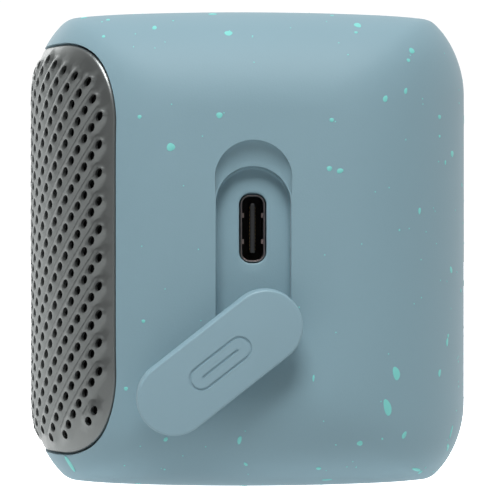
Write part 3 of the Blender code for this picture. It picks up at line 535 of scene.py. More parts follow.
# %% [markdown]
# ## The grille
# The real front is one sheet of metal with slanting ribs pressed into it and a row of oval holes
# punched along the lower flank of each rib. A texture could fake the holes, but not their walls or the
# light on the ribs. So the flat pattern is laid out first as points in (s, z): the holes, the lip
# round each hole, the valley between ribs and the rolled edge. A Delaunay triangulation joins them,
# and a height for each point then presses the sheet into shape.

# %% Layout of the ribs and holes
STEP_ALONG = np.array([1.141, 1.44])
STEP_UP = np.array([0.0, 3.75])
FIRST_HOLE = np.array([94.1, 2.55])
HOLE_HALF = (0.68, 0.46)
HOLE_LEAN = math.radians(66)
HOLE_LONG = np.array([math.cos(HOLE_LEAN), math.sin(HOLE_LEAN)])
HOLE_SHORT = np.array([-HOLE_LONG[1], HOLE_LONG[0]])
HOLE_SIDES = 10
EDGE_MARGIN = 1.9
RIB_HEIGHT = 0.46 * MM
RIB_FLANK = 0.62
CREST_SHIFT = 0.2
SHEET_PROUD = -0.08 * MM
SHEET_THICK = 0.6 * MM
EDGE_ROUND = 0.42
EDGE_CLEAR = 0.35
HOLE_CLEAR = 1.4
LIP_RING = 1.26
RIM_DISH = 0.05 * MM
HALF_S, HALF_Z, CORNER = (v / MM for v in (GRILLE_HALF_S, GRILLE_HALF_Z, GRILLE_CORNER))
along = STEP_ALONG / np.linalg.norm(STEP_ALONG)
across = np.array([-along[1], along[0]])
RIB_HALF = abs(STEP_UP @ across) / 2
print("rib pitch, mm:", round(2 * RIB_HALF, 2), "hole step, mm:", round(float(np.hypot(*STEP_ALONG)), 2))


def lattice():
    """All places first + i * along + j * up that can fall on the sheet, with their (i, j)."""
    i = np.arange(-190, 25)
    j = np.arange(-20, 90)
    ii, jj = (v.ravel() for v in np.meshgrid(i, j, indexing="ij"))
    return FIRST_HOLE + ii[:, None] * STEP_ALONG + jj[:, None] * STEP_UP, ii, jj


def edge_distance(p):
    return inside_outline(p[:, 0], p[:, 1], HALF_S, HALF_Z, CORNER)


places, index_i, index_j = lattice()
holed = edge_distance(places) > EDGE_MARGIN
holes = places[holed]
print("holes:", len(holes))


# %% [markdown]
# A rib is as long as its row of holes, and its crest lies a little above the row. Its height is a
# parabola of the distance to the crest, so two ribs meet in a sharp valley. The crest stops at the
# last hole, so the rib ends in a half dome.


# %% Height of the sheet
def rib_ends():
    """For each row j, the first and last i that carry a hole."""
    rows = np.unique(index_j[holed])
    first = np.array([index_i[holed & (index_j == j)].min() for j in rows])
    last = np.array([index_i[holed & (index_j == j)].max() for j in rows])
    return rows, first, last


ROWS, ROW_FIRST, ROW_LAST = rib_ends()
REST = np.linalg.norm(STEP_ALONG)


def rib_height(p):
    """Largest over nearby rows of 1 - (distance / half pitch)^2, zero beyond the half pitch."""
    across_run = (p - FIRST_HOLE) @ across - CREST_SHIFT
    step_across = STEP_UP @ across
    row = across_run / step_across
    best = np.zeros(len(p))
    for near in (np.floor(row), np.ceil(row)):
        slot = np.clip(near - ROWS[0], 0, len(ROWS) - 1).astype(int)
        real = (near >= ROWS[0]) & (near <= ROWS[-1])
        start = FIRST_HOLE + near[:, None] * STEP_UP
        t = ((p - start) @ along) / REST
        t_end = np.clip(t, ROW_FIRST[slot], ROW_LAST[slot])
        gap = np.hypot((t - t_end) * REST, (p - start) @ across - CREST_SHIFT)
        height = 1 - np.clip(gap / RIB_HALF, 0, 1) ** 2
        best = np.maximum(best, np.where(real, height, 0))
    return best


def sheet_height(p):
    """Flat sheet, plus the ribs, less the quarter round that rolls the edge over."""
    inward = np.clip(edge_distance(p), 0, EDGE_ROUND)
    rolled = EDGE_ROUND - np.sqrt(EDGE_ROUND**2 - (EDGE_ROUND - inward) ** 2)
    return SHEET_PROUD + RIB_HEIGHT * rib_height(p) - rolled * MM


# %% Points of the sheet
def ellipse(scale, count, turned=0.0):
    """Offsets of a leaning ellipse round a hole's centre."""
    angle = np.linspace(0, 2 * np.pi, count, endpoint=False) + turned
    a = scale * HOLE_HALF[0] * np.cos(angle)[:, None]
    b = scale * HOLE_HALF[1] * np.sin(angle)[:, None]
    return a * HOLE_LONG + b * HOLE_SHORT


def edge_ring(inward, spacing):
    outline = rounded_box((0, 0), HALF_S - inward, HALF_Z - inward, CORNER - inward, 40)
    length = 4 * (HALF_S + HALF_Z)
    return evenly(outline, int(length / spacing), 1.0)


def clear_of_edge(p):
    return edge_distance(p) > EDGE_ROUND + EDGE_CLEAR


def rib_spots():
    """Points that carry the crests, the flanks and the end domes, clear of the edge and the holes."""
    flanks = [(t, side * RIB_FLANK) for t in (0.25, 0.75) for side in (-1, 1)]
    spots = []
    for t, w in [(0.5, 0)] + flanks:
        spots.append(places + t * STEP_ALONG + (w * RIB_HALF + CREST_SHIFT) * across)
    row_tips = list(zip(ROWS, ROW_FIRST)) + list(zip(ROWS, ROW_LAST))
    tips = np.concatenate([places[holed & (index_i == i) & (index_j == j)] for j, i in row_tips])
    domes = tips[:, None] + CREST_SHIFT * across
    dome = circle((0, 0), RIB_HALF, 16)
    spots += [(domes + dome * share).reshape(-1, 2) for share in (RIB_FLANK, 1.0)]
    spots = np.vstack(spots)
    spots = spots[clear_of_edge(spots)]
    basis = np.linalg.inv(np.column_stack([STEP_ALONG, STEP_UP]))
    cell = np.round((spots - FIRST_HOLE) @ basis.T)
    centre = FIRST_HOLE + cell[:, :1] * STEP_ALONG + cell[:, 1:] * STEP_UP
    offset = spots - centre
    reach = np.hypot(offset @ HOLE_LONG / HOLE_HALF[0], offset @ HOLE_SHORT / HOLE_HALF[1])
    near_hole = (reach < HOLE_CLEAR) & (edge_distance(centre) > EDGE_MARGIN)
    return spots[~near_hole]


def valley_lines():
    """Points along each valley where the sheet is, and the edges that join neighbours."""
    rows = len(np.unique(index_j))
    start = places + (RIB_HALF + CREST_SHIFT) * across
    lines = np.stack([start, start + 0.5 * STEP_ALONG], 1).reshape(-1, rows, 2, 2)
    lines = lines.transpose(1, 0, 2, 3).reshape(rows, -1, 2)
    kept = clear_of_edge(lines.reshape(-1, 2)).reshape(rows, -1)
    index = np.where(kept, np.cumsum(kept).reshape(rows, -1) - 1, -1)
    edges = np.stack([index[:, :-1].ravel(), index[:, 1:].ravel()], -1)
    return lines[kept], edges[(edges >= 0).all(1)]


ring_edge = (holes[:, None] + ellipse(1.0, HOLE_SIDES)).reshape(-1, 2)
ring_lip = (holes[:, None] + ellipse(LIP_RING, HOLE_SIDES, np.pi / HOLE_SIDES)).reshape(-1, 2)
spots = rib_spots()
valley, valley_edges = valley_lines()
edges_out = [edge_ring(share * EDGE_ROUND, 0.7) for share in (0.0, 0.07, 0.25, 0.6, 1.0)]
flat_points = np.vstack([ring_edge, ring_lip, spots, valley] + edges_out)
rim_count = len(ring_edge)
valley_start = 2 * rim_count + len(spots)
hole_of = np.full(len(flat_points), -1)
hole_of[:rim_count] = np.repeat(np.arange(len(holes)), HOLE_SIDES)
print("points on the sheet:", len(flat_points))

# %% [markdown]
# The holes' rings, the valleys and the outer edge are constraints: no triangle crosses them. A triangle
# whose three corners lie on one hole's ring is inside that hole and is left out. The inner side of
# the sheet is out of sight, so it only joins the holes' rims and the edge. A wall round each hole and
# round the edge joins the two sides.


# %% Triangulate and press
def triangulated(points, edges, hole_of):
    """Triangles outside the holes, with each new point's source and each source's new point."""
    vectors = [Vector(p) for p in points.tolist()]
    found = geometry.delaunay_2d_cdt(vectors, edges.tolist(), [], 0, 1e-4)
    flat = np.array([tuple(p) for p in found[0]])
    source = np.array([ids[0] if len(ids) else -1 for ids in found[3]])
    on_hole = np.where(source >= 0, hole_of[source], -1)
    triangles = np.array([f for f in found[2] if len(f) == 3])
    corners = on_hole[triangles]
    in_hole = (corners[:, 0] >= 0) & (np.ptp(corners, axis=1) == 0)
    place_of = np.zeros(len(points), int)
    place_of[source[source >= 0]] = np.flatnonzero(source >= 0)
    return flat, on_hole, triangles[~in_hole], source, place_of


def closed_edges(start, counts):
    """The edges of closed rings that follow one another in the list of points."""
    first = start + np.concatenate([[0], np.cumsum(counts)[:-1]])
    here = [np.arange(f, f + c) for f, c in zip(first, counts)]
    return np.vstack([np.stack([ring, np.roll(ring, -1)], -1) for ring in here])


def pressed(flat, on_hole, sunk):
    """The sheet's points in space, this far under its face; the holes' rims are dished in a little."""
    height = sheet_height(flat) - np.where(on_hole >= 0, RIM_DISH, 0) - sunk
    return front_layer(flat[:, 0] * MM, flat[:, 1] * MM, height)


edge_start = len(flat_points) - sum(len(e) for e in edges_out)
edge_count = len(edges_out[0])
rims = closed_edges(0, [HOLE_SIDES] * len(holes))
front_edges = np.vstack([rims, closed_edges(edge_start, [edge_count]), valley_edges + valley_start])
back_edges = np.vstack([rims, closed_edges(rim_count, [edge_count])])
back_points = np.vstack([flat_points[:rim_count], edges_out[0]])
back_hole_of = np.append(hole_of[:rim_count], np.full(edge_count, -1))
flat, on_hole, triangles, source, _ = triangulated(flat_points, front_edges, hole_of)
back_flat, back_hole, back_triangles, _, back_place = triangulated(back_points, back_edges, back_hole_of)
directed = np.vstack([triangles[:, [0, 1]], triangles[:, [1, 2]], triangles[:, [2, 0]]])
_, first_at, times = np.unique(np.sort(directed, 1), axis=0, return_index=True, return_counts=True)
open_edges = directed[first_at[times == 1]]
below = source[open_edges]
below = back_place[np.where(below < rim_count, below, below - edge_start + rim_count)] + len(flat)
walls = np.stack([open_edges[:, 1], open_edges[:, 0], below[:, 0], below[:, 1]], -1)
print("open edges:", len(open_edges), "of", len(back_edges))
grille = new_piece(
    "grille_sheet",
    np.vstack([pressed(flat, on_hole, 0), pressed(back_flat, back_hole, SHEET_THICK)]),
    grille_metal,
    "case",
    50,
    faces=triangles.tolist() + (back_triangles[:, ::-1] + len(flat)).tolist() + walls.tolist(),
    outward=False,
)
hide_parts("front_grille")
print("grille triangles:", len(triangles) + len(back_triangles) + 2 * len(walls))

# %% [markdown]
# ## Flecks
# The paint is speckled with turquoise flecks, a few large and most tiny, stretched a little one way.
# Each is a very thin ellipse of paint lying on the case, closed underneath. A ray cast at the case
# finds the place and the slope of each one, and all of them together are one small mesh.

# %% Lay flecks on the case
FLECK_LIFT = 0.03 * MM
FLECK_SIDES = 14
RAY_START = 0.2


def lay_flecks(starts, direction, half_long, half_short, lean):
    """Ellipses on the tangent plane where rays from the starts meet the case; misses are left out."""
    tree = BVHTree.FromObject(case, bpy.context.evaluated_depsgraph_get())
    points = []
    for start, a, b, tilt in zip(starts, half_long, half_short, lean):
        place, normal, _, _ = tree.ray_cast(Vector(start), Vector(direction))
        if place is None or normal.dot(Vector(direction)) > -0.25:
            continue
        up = Vector((0, 0, 1)) if abs(normal.z) < 0.8 else Vector((1, 0, 0))
        side = up.cross(normal).normalized()
        rise = normal.cross(side)
        angle = np.linspace(0, 2 * np.pi, FLECK_SIDES, endpoint=False)
        wobble = 1 + 0.06 * np.sin(3 * angle + tilt * 7)
        u = a * np.cos(angle) * wobble
        v = b * np.sin(angle) * wobble
        c, s = math.cos(tilt), math.sin(tilt)
        flat = np.outer(u * c - v * s, np.array(side)) + np.outer(u * s + v * c, np.array(rise))
        rings = [
            np.array(place + normal * lift) + flat * share
            for lift, share in ((-FLECK_LIFT, 1), (FLECK_LIFT / 2, 1), (FLECK_LIFT, 0.9))
        ]
        points.append(np.array(rings))
    return points


# %% [markdown]
# The flecks on the port end are listed one by one, in millimetres from the middle of the case: across,
# up, half length, half width and lean. Those on the other faces are scattered with a fixed seed.

# %% Flecks on the port end
END_FLECKS = (
    (-3.2, 28.8, 0.55, 0.50, 0),
    (-4.5, 17.6, 0.43, 0.40, 0),
    (-15.0, 17.4, 0.27, 0.26, 0),
    (-10.9, 13.4, 0.56, 0.53, 30),
    (2.9, 15.0, 0.54, 0.48, 40),
    (13.9, 29.0, 0.25, 0.24, 0),
    (17.5, 19.9, 0.46, 0.33, 70),
    (20.8, 25.2, 0.28, 0.26, 0),
    (10.3, 17.0, 0.30, 0.28, 0),
    (10.0, 10.6, 0.36, 0.34, 0),
    (11.4, 10.3, 0.45, 0.33, 20),
    (25.3, 17.8, 0.32, 0.30, 0),
    (25.3, 15.2, 0.21, 0.20, 0),
    (22.3, 5.1, 0.45, 0.23, 85),
    (26.2, 11.7, 0.33, 0.20, 80),
    (2.9, -3.3, 0.24, 0.23, 0),
    (-14.5, -9.5, 0.25, 0.24, 0),
    (-16.8, -18.4, 0.28, 0.26, 0),
    (-1.8, -25.3, 0.66, 0.28, 80),
    (26.5, -12.6, 0.57, 0.27, 80),
    (19.0, -16.5, 0.93, 0.53, 105),
    (25.3, -16.7, 0.51, 0.29, 75),
    (7.9, -17.0, 0.46, 0.14, 85),
    (17.8, -21.0, 1.17, 0.53, 107),
    (20.2, -24.8, 0.54, 0.31, 70),
    (27.3, -24.9, 0.93, 0.20, 80),
    (8.9, -29.4, 0.35, 0.34, 0),
    (22.3, -29.8, 0.93, 0.27, 160),
    (10.2, -31.2, 0.73, 0.27, 10),
    (-24.5, -29.0, 1.30, 0.40, 100),
    (-5.2, 31.9, 0.60, 0.50, 0),
)


def end_starts(spots):
    """Starts of rays in front of the port end, from places across and up in mm."""
    ahead = np.full(len(spots), MIDDLE_X + RAY_START)
    return np.column_stack([ahead, spots[:, 0] * MM, CENTRE_Z + spots[:, 1] * MM])


flecks = np.array(END_FLECKS)
half_long, half_short, lean = flecks[:, 2] * MM, flecks[:, 3] * MM, np.radians(flecks[:, 4])
ring_points = lay_flecks(end_starts(flecks), (-1, 0, 0), half_long, half_short, lean)
print("flecks on the port end:", len(ring_points))


# %% Flecks elsewhere
def scatter(seed, count, direction):
    """Rays along `direction` from a plane beyond the case, at seeded random places and sizes."""
    rng = np.random.default_rng(seed)
    reach = np.array([HALF_LENGTH, HALF_DEPTH, HALF_HEIGHT])
    spot = rng.uniform(-1, 1, (count, 3)) * reach * 0.985
    spot[:, np.argmax(np.abs(direction))] = 0
    start = np.array([MIDDLE_X, 0, CENTRE_Z]) + spot - np.array(direction) * 0.3
    size = 0.11 * MM + 0.55 * MM * rng.random(count) ** 4
    stretch = rng.uniform(0.5, 1.0, count)
    return lay_flecks(start, direction, size, size * stretch, rng.uniform(1.0, 2.2, count))


small = np.random.default_rng(4)
tiny = small.uniform(-1, 1, (60, 2)) * np.array([28, 31])
ring_points += lay_flecks(
    end_starts(tiny), (-1, 0, 0), np.full(60, 0.10 * MM), np.full(60, 0.09 * MM), tiny[:, 0]
)
ring_points += scatter(11, 420, (0, 0, -1))
ring_points += scatter(12, 420, (0, 0, 1))
ring_points += scatter(13, 420, (0, -1, 0))
ring_points += scatter(14, 150, (1, 0, 0))


SEAT_FRONT = -17 * MM
SEAT_MARGIN = 0.6 * MM
POCKET_BOX = (3.5 * MM, 5.6 * MM, 15 * MM)
BUTTON_CLEAR = 6 * MM
BUTTON_ROW = (50 * MM, 6 * MM, 1.2 * MM)
FEET_BOX = (64 * MM, 10.5 * MM, 17.8 * MM)


def clear_of_features(ring):
    """Keeps flecks off the seat of the grille and out of the wells, the grooves and the pocket."""
    x, y, z = ring.mean(axis=(0, 1)) - (MIDDLE_X, 0, CENTRE_Z)
    deep, wide, high = POCKET_BOX
    in_pocket = x > HALF_LENGTH - deep and abs(y) < wide and abs(z) < high
    in_front = y < SEAT_FRONT and abs(z) < GRILLE_HALF_Z + SEAT_MARGIN
    wells = [np.hypot(x + MIDDLE_X - p[0], y - p[1]) < BUTTON_CLEAR for p in button_places.values()]
    long, wide, sunk = BUTTON_ROW
    in_row = abs(x) < long and abs(y) < wide and 0 < z < HALF_HEIGHT - sunk
    long, near, far = FEET_BOX
    in_grooves = abs(x) < long and near < abs(y) < far and z < -HALF_HEIGHT + 1 * MM
    return not (in_front or in_pocket or (any(wells) and z > 0) or in_row or in_grooves)


kept = [ring for ring in ring_points if clear_of_features(ring)]
one_fleck = ring_faces(3, FLECK_SIDES)
points, faces = merge_parts([(ring.reshape(-1, 3), one_fleck) for ring in kept])
new_piece("paint_flecks", points, fleck_paint, "case", faces=faces)
print("flecks:", len(kept))

# %% [markdown]
# ## The port
# A USB-C receptacle is a folded steel shell with a thin tongue down its middle. Gold contacts lie on
# both faces of the tongue, and small springs reach in from the shell's sides.

# %% Shell, tongue and contacts
# The inside of the shell is painted near black: painted shade for the deep port, where little light
# reaches. The real shell is the same steel inside and out.
inside_painted_shade = finish(
    "port_shell_painted_shade", (0.03, 0.028, 0.028), 0.5, 0.6, grain=0.2, depth=0.004, uneven=0.05
)
shell_metal = finish("port_shell_metal", (0.42, 0.34, 0.33), 0.3, 1.0, grain=0.2, depth=0.004, uneven=0.05)
tongue_plastic = finish("port_tongue_plastic", (0.02, 0.021, 0.023), 0.45, grain=0.15, depth=0.004)
contact_gold = finish("contact_gold", (0.42, 0.31, 0.15), 0.38, 1.0, grain=0.2, depth=0.003)
MOUTH_X = shell_middle[0] + shell_half[0] - MIDDLE_X
SHELL_SHEET = 0.22 * MM
SHELL_EDGE = 0.08 * MM
SHELL_CORNER = 1.25 * MM
SHELL_LENGTH = 2 * shell_half[0]
SHELL_COUNT = 128
SHELL_PROFILE = (
    (SHELL_LENGTH, 0),
    (SHELL_EDGE, 0),
    (0, -SHELL_EDGE),
    (0, SHELL_EDGE - SHELL_SHEET),
    (SHELL_EDGE, -SHELL_SHEET),
    (SHELL_LENGTH - SHELL_SHEET, -SHELL_SHEET),
)


def port_ring(x, half, grow, corner, steps, count):
    """A rounded rectangle of the port's pieces at x, at even steps."""
    outline = rounded_box((0, PORT_Z), half[1] + grow, half[2] + grow, corner, steps)
    return at_x(x, evenly(outline, count, FINE_BEND))


shell_rings = [
    port_ring(MOUTH_X - back, shell_half, grow, SHELL_CORNER + grow, 24, SHELL_COUNT)
    for back, grow in SHELL_PROFILE
]
shell = new_piece("port_shell", shell_rings, shell_metal, "case", 40)
# The inner wall and the back end of the shell take the painted shade; the mouth keeps the plain metal.
shell.data.materials.append(inside_painted_shade)
inner_from = 4 * SHELL_COUNT
face_of = np.full(len(shell.data.polygons), 0)
face_of[inner_from : inner_from + SHELL_COUNT] = 1
face_of[-1] = 1
shell.data.polygons.foreach_set("material_index", face_of)
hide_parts("usb_c_shell")
tongue_middle, tongue_half = middle_and_half("usb_c_tongue")
tip = tongue_middle[0] + tongue_half[0] - MIDDLE_X
root = tongue_middle[0] - tongue_half[0] - MIDDLE_X
TONGUE_CORNER = 0.16 * MM
TONGUE_PROFILE = ((root, 0), (tip - 0.25 * MM, 0), (tip - 0.05 * MM, -0.08 * MM), (tip, -0.18 * MM))
tongue_rings = [port_ring(x, tongue_half, grow, TONGUE_CORNER, 8, 72) for x, grow in TONGUE_PROFILE]
tongue = new_piece("port_tongue", tongue_rings, tongue_plastic, "case", 30)
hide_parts("usb_c_tongue")


def blocks(centres, halves):
    """Small boxes, all in one mesh: eight corners each."""
    sign = np.array([(x, y, z) for x in (-1, 1) for y in (-1, 1) for z in (-1, 1)])
    points = centres[:, None] + sign * halves
    faces = np.array([(0, 1, 3, 2), (4, 6, 7, 5), (0, 4, 5, 1), (2, 3, 7, 6), (0, 2, 6, 4), (1, 5, 7, 3)])
    every = (faces + 8 * np.arange(len(centres))[:, None, None]).reshape(-1, 4)
    return points.reshape(-1, 3), every.tolist()


def both_sides(x, y, heights):
    """Centres at x and on both sides of the middle, one for each height over the port's middle."""
    return np.array([(x + MIDDLE_X, side * y, CENTRE_Z + PORT_Z + z) for side in (-1, 1) for z in heights])


pins = both_sides(tip - 1.9 * MM, tongue_half[1] + 0.01 * MM, (np.arange(12) - 5.5) * 0.5 * MM)
points, faces = blocks(pins, np.array([1.3, 0.03, 0.13]) * MM)
new_piece("port_contacts", points, contact_gold, "case", faces=faces)
springs = both_sides(MOUTH_X - 1.3 * MM, shell_half[1] - 0.34 * MM, np.array([-1.75, 1.75]) * MM)
points, faces = blocks(springs, np.array([0.8, 0.13, 0.3]) * MM)
new_piece("port_springs", points, shell_metal, "case", faces=faces)
print("port pieces made, contacts:", len(pins))

# %% [markdown]
# ## The flap
# The cover of the port is one silicone moulding: a stadium plate with soft edges and a stem that goes
# through the pocket's floor. It is drawn over the port and then turned about the stem's axis to where
# it rests, as its hinge would turn it.

# %% Flap and stem
flap_silicone = finish("flap_silicone", (0.295, 0.455, 0.53), 0.45, grain=0.2, depth=0.008, uneven=0.03)
flap_joint = next(j for j in frame["joints"] if j["name"] == "flap_swivel")
pivot = np.array(flap_joint["pos_m"], float)
axis = np.array(flap_joint["axis"], float)
axis = axis / np.linalg.norm(axis)
FLAP_TURN = math.radians(128.3)
FLAP_HALF_WIDTH = 4.9 * MM
FLAP_REACH = 15 * MM
FLAP_THICK = 2 * MM
FLAP_ROUND = 0.3 * MM


def turned_about_stem(points, angle):
    """Rodrigues: p cos + (axis x p) sin + axis (axis . p)(1 - cos), about the pivot."""
    p = np.asarray(points) - pivot
    c, s = math.cos(angle), math.sin(angle)
    return pivot + p * c + np.cross(axis, p) * s + np.outer(p @ axis, axis) * (1 - c)


def flap_ring(x, grow):
    """The flap's outline at x, standing over the port."""
    outline = stadium(0, FLAP_REACH, FLAP_HALF_WIDTH + grow, 48) + (pivot[1], pivot[2])
    return np.column_stack([np.full(200, x), evenly(outline, 200)])


rounds = quarter_round(FLAP_ROUND, 7)
flap_rings = [flap_ring(pivot[0] + up, -left) for up, left in rounds]
flap_rings += [flap_ring(pivot[0] + FLAP_THICK - up, -left) for up, left in rounds[::-1]]
flap_rings = [turned_about_stem(ring, FLAP_TURN) for ring in flap_rings]
flap = new_piece("flap_plate", flap_rings, flap_silicone, "port_flap", 40)
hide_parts("port_flap")
stem_length = (pivot[0] - MIDDLE_X - FLOOR_X) / axis[0] + 4 * MM
stem_side = np.cross(axis, (0, 0, 1))
stem_side /= np.linalg.norm(stem_side)
stem_up = np.cross(stem_side, axis)
stem_turn = np.linspace(0, 2 * np.pi, 40, endpoint=False)[:, None]


def stem_ring(distance, radius):
    """A ring round the stem's axis, this far in from the pivot."""
    return pivot - axis * distance + radius * (np.cos(stem_turn) * stem_side + np.sin(stem_turn) * stem_up)


STEM_PROFILE = ((-0.4, 2.3), (0.0, 2.1), (0.5, 1.7), (1.2, 1.5), (stem_length / MM, 1.5))
stem_rings = [stem_ring(distance * MM, radius * MM) for distance, radius in STEM_PROFILE]
new_piece("flap_stem", stem_rings, flap_silicone, "port_flap", 40)
HOLE_RADIUS = 1.8 * MM
hole_ends = (stem_length - 5 * MM, stem_length + 4 * MM)
cut_away(case, "stem_hole", [stem_ring(end, HOLE_RADIUS) for end in hole_ends])
case.data.set_sharp_from_angle(angle=math.radians(40))
print("flap rings:", len(flap_rings))

# %% [markdown]
# ## Marks
# The marks are plain ribbons: a flat rectangle carried along a path. A port's outline is cut into the
# flap, and raised signs lie on the buttons: a power ring, waves, minus, a triangle and plus.


# %% Ribbon along a path
def ribbon(path, width, thick, closed=False):
    """Four-cornered section carried along a flat path: half a width to each side, and a thickness up."""
    path = np.asarray(path, float)
    ahead = np.roll(path, -1, 0) - path if closed else np.gradient(path, axis=0)
    behind = path - np.roll(path, 1, 0) if closed else ahead
    heading = ahead + behind
    heading /= np.linalg.norm(heading, axis=1, keepdims=True)
    left = np.column_stack([-heading[:, 1], heading[:, 0]]) * width / 2
    low, high = np.zeros(len(path)), np.full(len(path), thick)
    corners = [
        np.column_stack([path + left, low]),
        np.column_stack([path + left, high]),
        np.column_stack([path - left, high]),
        np.column_stack([path - left, low]),
    ]
    rings = np.stack(corners, 1)
    faces = ring_faces(len(path), 4, not closed, not closed)
    if closed:
        last = 4 * (len(path) - 1)
        faces += [[last + k, last + (k + 1) % 4, (k + 1) % 4, k] for k in range(4)]
    return rings.reshape(-1, 3), faces


MARK_DEPTH = 0.14 * MM
MARK_WIDTH = 0.34 * MM
path = evenly(stadium(-3.1 * MM, 3.1 * MM, 1.5 * MM, 24), 80)
outer = ribbon(path, MARK_WIDTH, 3 * MARK_DEPTH, closed=True)
inner = ribbon([(0, -2.9 * MM), (0, 0), (0, 2.9 * MM)], MARK_WIDTH, 3 * MARK_DEPTH)
mark_points, mark_faces = merge_parts([outer, inner])
mark_places = np.column_stack(
    [
        pivot[0] + FLAP_THICK - MARK_DEPTH + mark_points[:, 2],
        pivot[1] + mark_points[:, 0],
        pivot[2] + FLAP_REACH / 2 + mark_points[:, 1],
    ]
)
cut_away(flap, "flap_mark", turned_about_stem(mark_places, FLAP_TURN), mark_faces)
flap.data.set_sharp_from_angle(angle=math.radians(40))
print("flap faces with its mark:", len(flap.data.polygons))

# %% [markdown]
# ## Buttons
# Each button is a soft cap, turned from a profile with a rounded rim and a slightly dished top, and
# it carries its sign in a paler ribbon. It rides on its own body, so it goes down when pressed.

# %% Caps and signs
button_rubber = finish("button_rubber", (0.225, 0.345, 0.39), 0.68, grain=0.25, depth=0.012, uneven=0.03)
sign_paint = finish("button_sign", (0.62, 0.74, 0.75), 0.5, grain=0.2, depth=0.004)
SIGN_WIDTH = 0.42 * MM
SIGN_THICK = 0.06 * MM


LEVEL = [(-1.7, 0), (0, 0), (1.7, 0)]
UPRIGHT = [(0, -1.7), (0, 0), (0, 1.7)]
SIGNS = {
    "power": [
        arc_points(0, 0, 1.7, math.radians(125), math.radians(415), 40),
        [(0, 0.5), (0, 1.4), (0, 2.2)],
    ],
    "bluetooth": [
        arc_points(-1.6, 0, radius, math.radians(-42), math.radians(42), 20) for radius in (1.1, 2.1, 3.1)
    ],
    "volume_down": [LEVEL],
    "play": [evenly(np.array([(-1.2, -1.7), (1.8, 0), (-1.2, 1.7)]), 48)],
    "volume_up": [LEVEL, UPRIGHT],
}
SIGN_SUNK = 0.02 * MM
DISH_DEPTH = 0.16
DISH_RADIUS = 4.5


def dish(r):
    """Height in mm of the cap's top at r mm: less the depth times cos^2 of a quarter turn's share."""
    return -DISH_DEPTH * np.cos(np.pi / 2 * np.clip(r / DISH_RADIUS, 0, 1)) ** 2


cap_profile = [(5.0, -2.3), (5.0, -0.45), (4.93, -0.2), (4.75, -0.05), (4.5, 0.0)]
cap_profile += [(r, dish(r)) for r in (3.8, 3.0, 2.2, 1.4, 0.6)]
for name, (x, y) in button_places.items():
    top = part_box(f"{name}_button")[1][2]
    cap_rings = [at_heights(circle((x, y), r * MM, 64), [top + h * MM])[0] for r, h in cap_profile]
    cap = new_piece(f"{name}_cap", cap_rings, button_rubber, f"{name}_button", 40)
    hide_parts(f"{name}_button")
    paths = [np.array(path, float) * MM for path in SIGNS[name]]
    points, faces = merge_parts([ribbon(path, SIGN_WIDTH, SIGN_THICK, name == "play") for path in paths])
    sunk = dish(np.hypot(points[:, 0], points[:, 1]) / MM) * MM - SIGN_SUNK
    points = points + np.column_stack([np.full(len(points), x), np.full(len(points), y), top + sunk])
    new_piece(f"{name}_sign", points, sign_paint, f"{name}_button", faces=faces)
print("buttons:", len(BUTTONS))

# %% Finishes of the nodes that keep their shape
moulded_black = finish("moulded_black", (0.018, 0.018, 0.02), 0.5, grain=0.3, depth=0.02)
plated_steel = finish("plated_steel", (0.60, 0.60, 0.58), 0.32, 1.0, grain=0.3, depth=0.004)
foam_black = finish("foam_black", (0.025, 0.025, 0.027), 0.95, grain=0.4, depth=0.15, uneven=0.3)
board_mask = finish("board_mask", (0.015, 0.14, 0.06), 0.4, grain=0.8, depth=0.02, uneven=0.12)
cone_pulp = finish("cone_pulp", (0.04, 0.04, 0.045), 0.75, grain=0.5, depth=0.05, uneven=0.15)
FINISH_OF = {
    "grille_cloth": cloth_black,
    "front_baffle": moulded_black,
    "battery_holder": moulded_black,
    "radiator_frame": moulded_black,
    "basket": moulded_black,
    "shield": plated_steel,
    "switch": plated_steel,
    "screw": plated_steel,
    "gasket": foam_black,
    "_board": board_mask,
    "cone": cone_pulp,
    "_foot": finish("foot_rubber", (0.33, 0.66, 0.63), 0.6, grain=0.25, depth=0.02),
    "light_pipe": finish("light_window", (0.80, 0.83, 0.84), 0.3, grain=0.3, depth=0.003),
    "surround": finish("roll_rubber", (0.012, 0.012, 0.012), 0.6, grain=0.3, depth=0.01),
    "piston": finish("piston_metal", (0.12, 0.12, 0.13), 0.4, 0.8, grain=0.3, depth=0.005),
    "magnet": finish("magnet_plating", (0.45, 0.45, 0.46), 0.38, 1.0, grain=0.3, depth=0.006),
    "cell": finish("cell_wrap", (0.04, 0.20, 0.40), 0.35, grain=0.6, depth=0.01),
}
finished = 0
for name, node in frame["nodes"].items():
    chosen = next((look for part, look in FINISH_OF.items() if part in name), None)
    if chosen is not None:
        node.data.materials.clear()
        node.data.materials.append(chosen)
        finished += 1
print("nodes given a finish:", finished)

# %% [markdown]
# ## Stage, light and camera
# A plain white studio. A soft light hangs above and in front of the port end, and a weak one stands
# behind on the grille's side. Out of the camera's sight the floor glows under and behind the speaker
# and the world is brighter from behind, as a lit sweep is, so light comes up under the speaker and
# along its edges. The camera itself sees both as plain white.


# %% Floor and world
def from_behind(tree, coordinate, near, far, low, high):
    """A smooth step from low to high as the coordinate's x goes from near to far."""
    new, link = tree.nodes.new, tree.links.new
    place = new("ShaderNodeTexCoord")
    parts = new("ShaderNodeSeparateXYZ")
    step = set_inputs(new("ShaderNodeMapRange"), From_Min=near, From_Max=far, To_Min=low, To_Max=high)
    step.interpolation_type = "SMOOTHSTEP"
    link(place.outputs[coordinate], parts.inputs["Vector"])
    link(parts.outputs["X"], step.inputs["Value"])
    return step.outputs["Result"]


def camera_sees(tree, seen, other, output):
    """The camera gets one shader, and every other ray gets the other."""
    ray = tree.nodes.new("ShaderNodeLightPath")
    choose = tree.nodes.new("ShaderNodeMixShader")
    tree.links.new(ray.outputs["Is Camera Ray"], choose.inputs["Fac"])
    tree.links.new(other, choose.inputs[1])
    tree.links.new(seen, choose.inputs[2])
    tree.links.new(choose.outputs["Shader"], tree.nodes[output].inputs["Surface"])


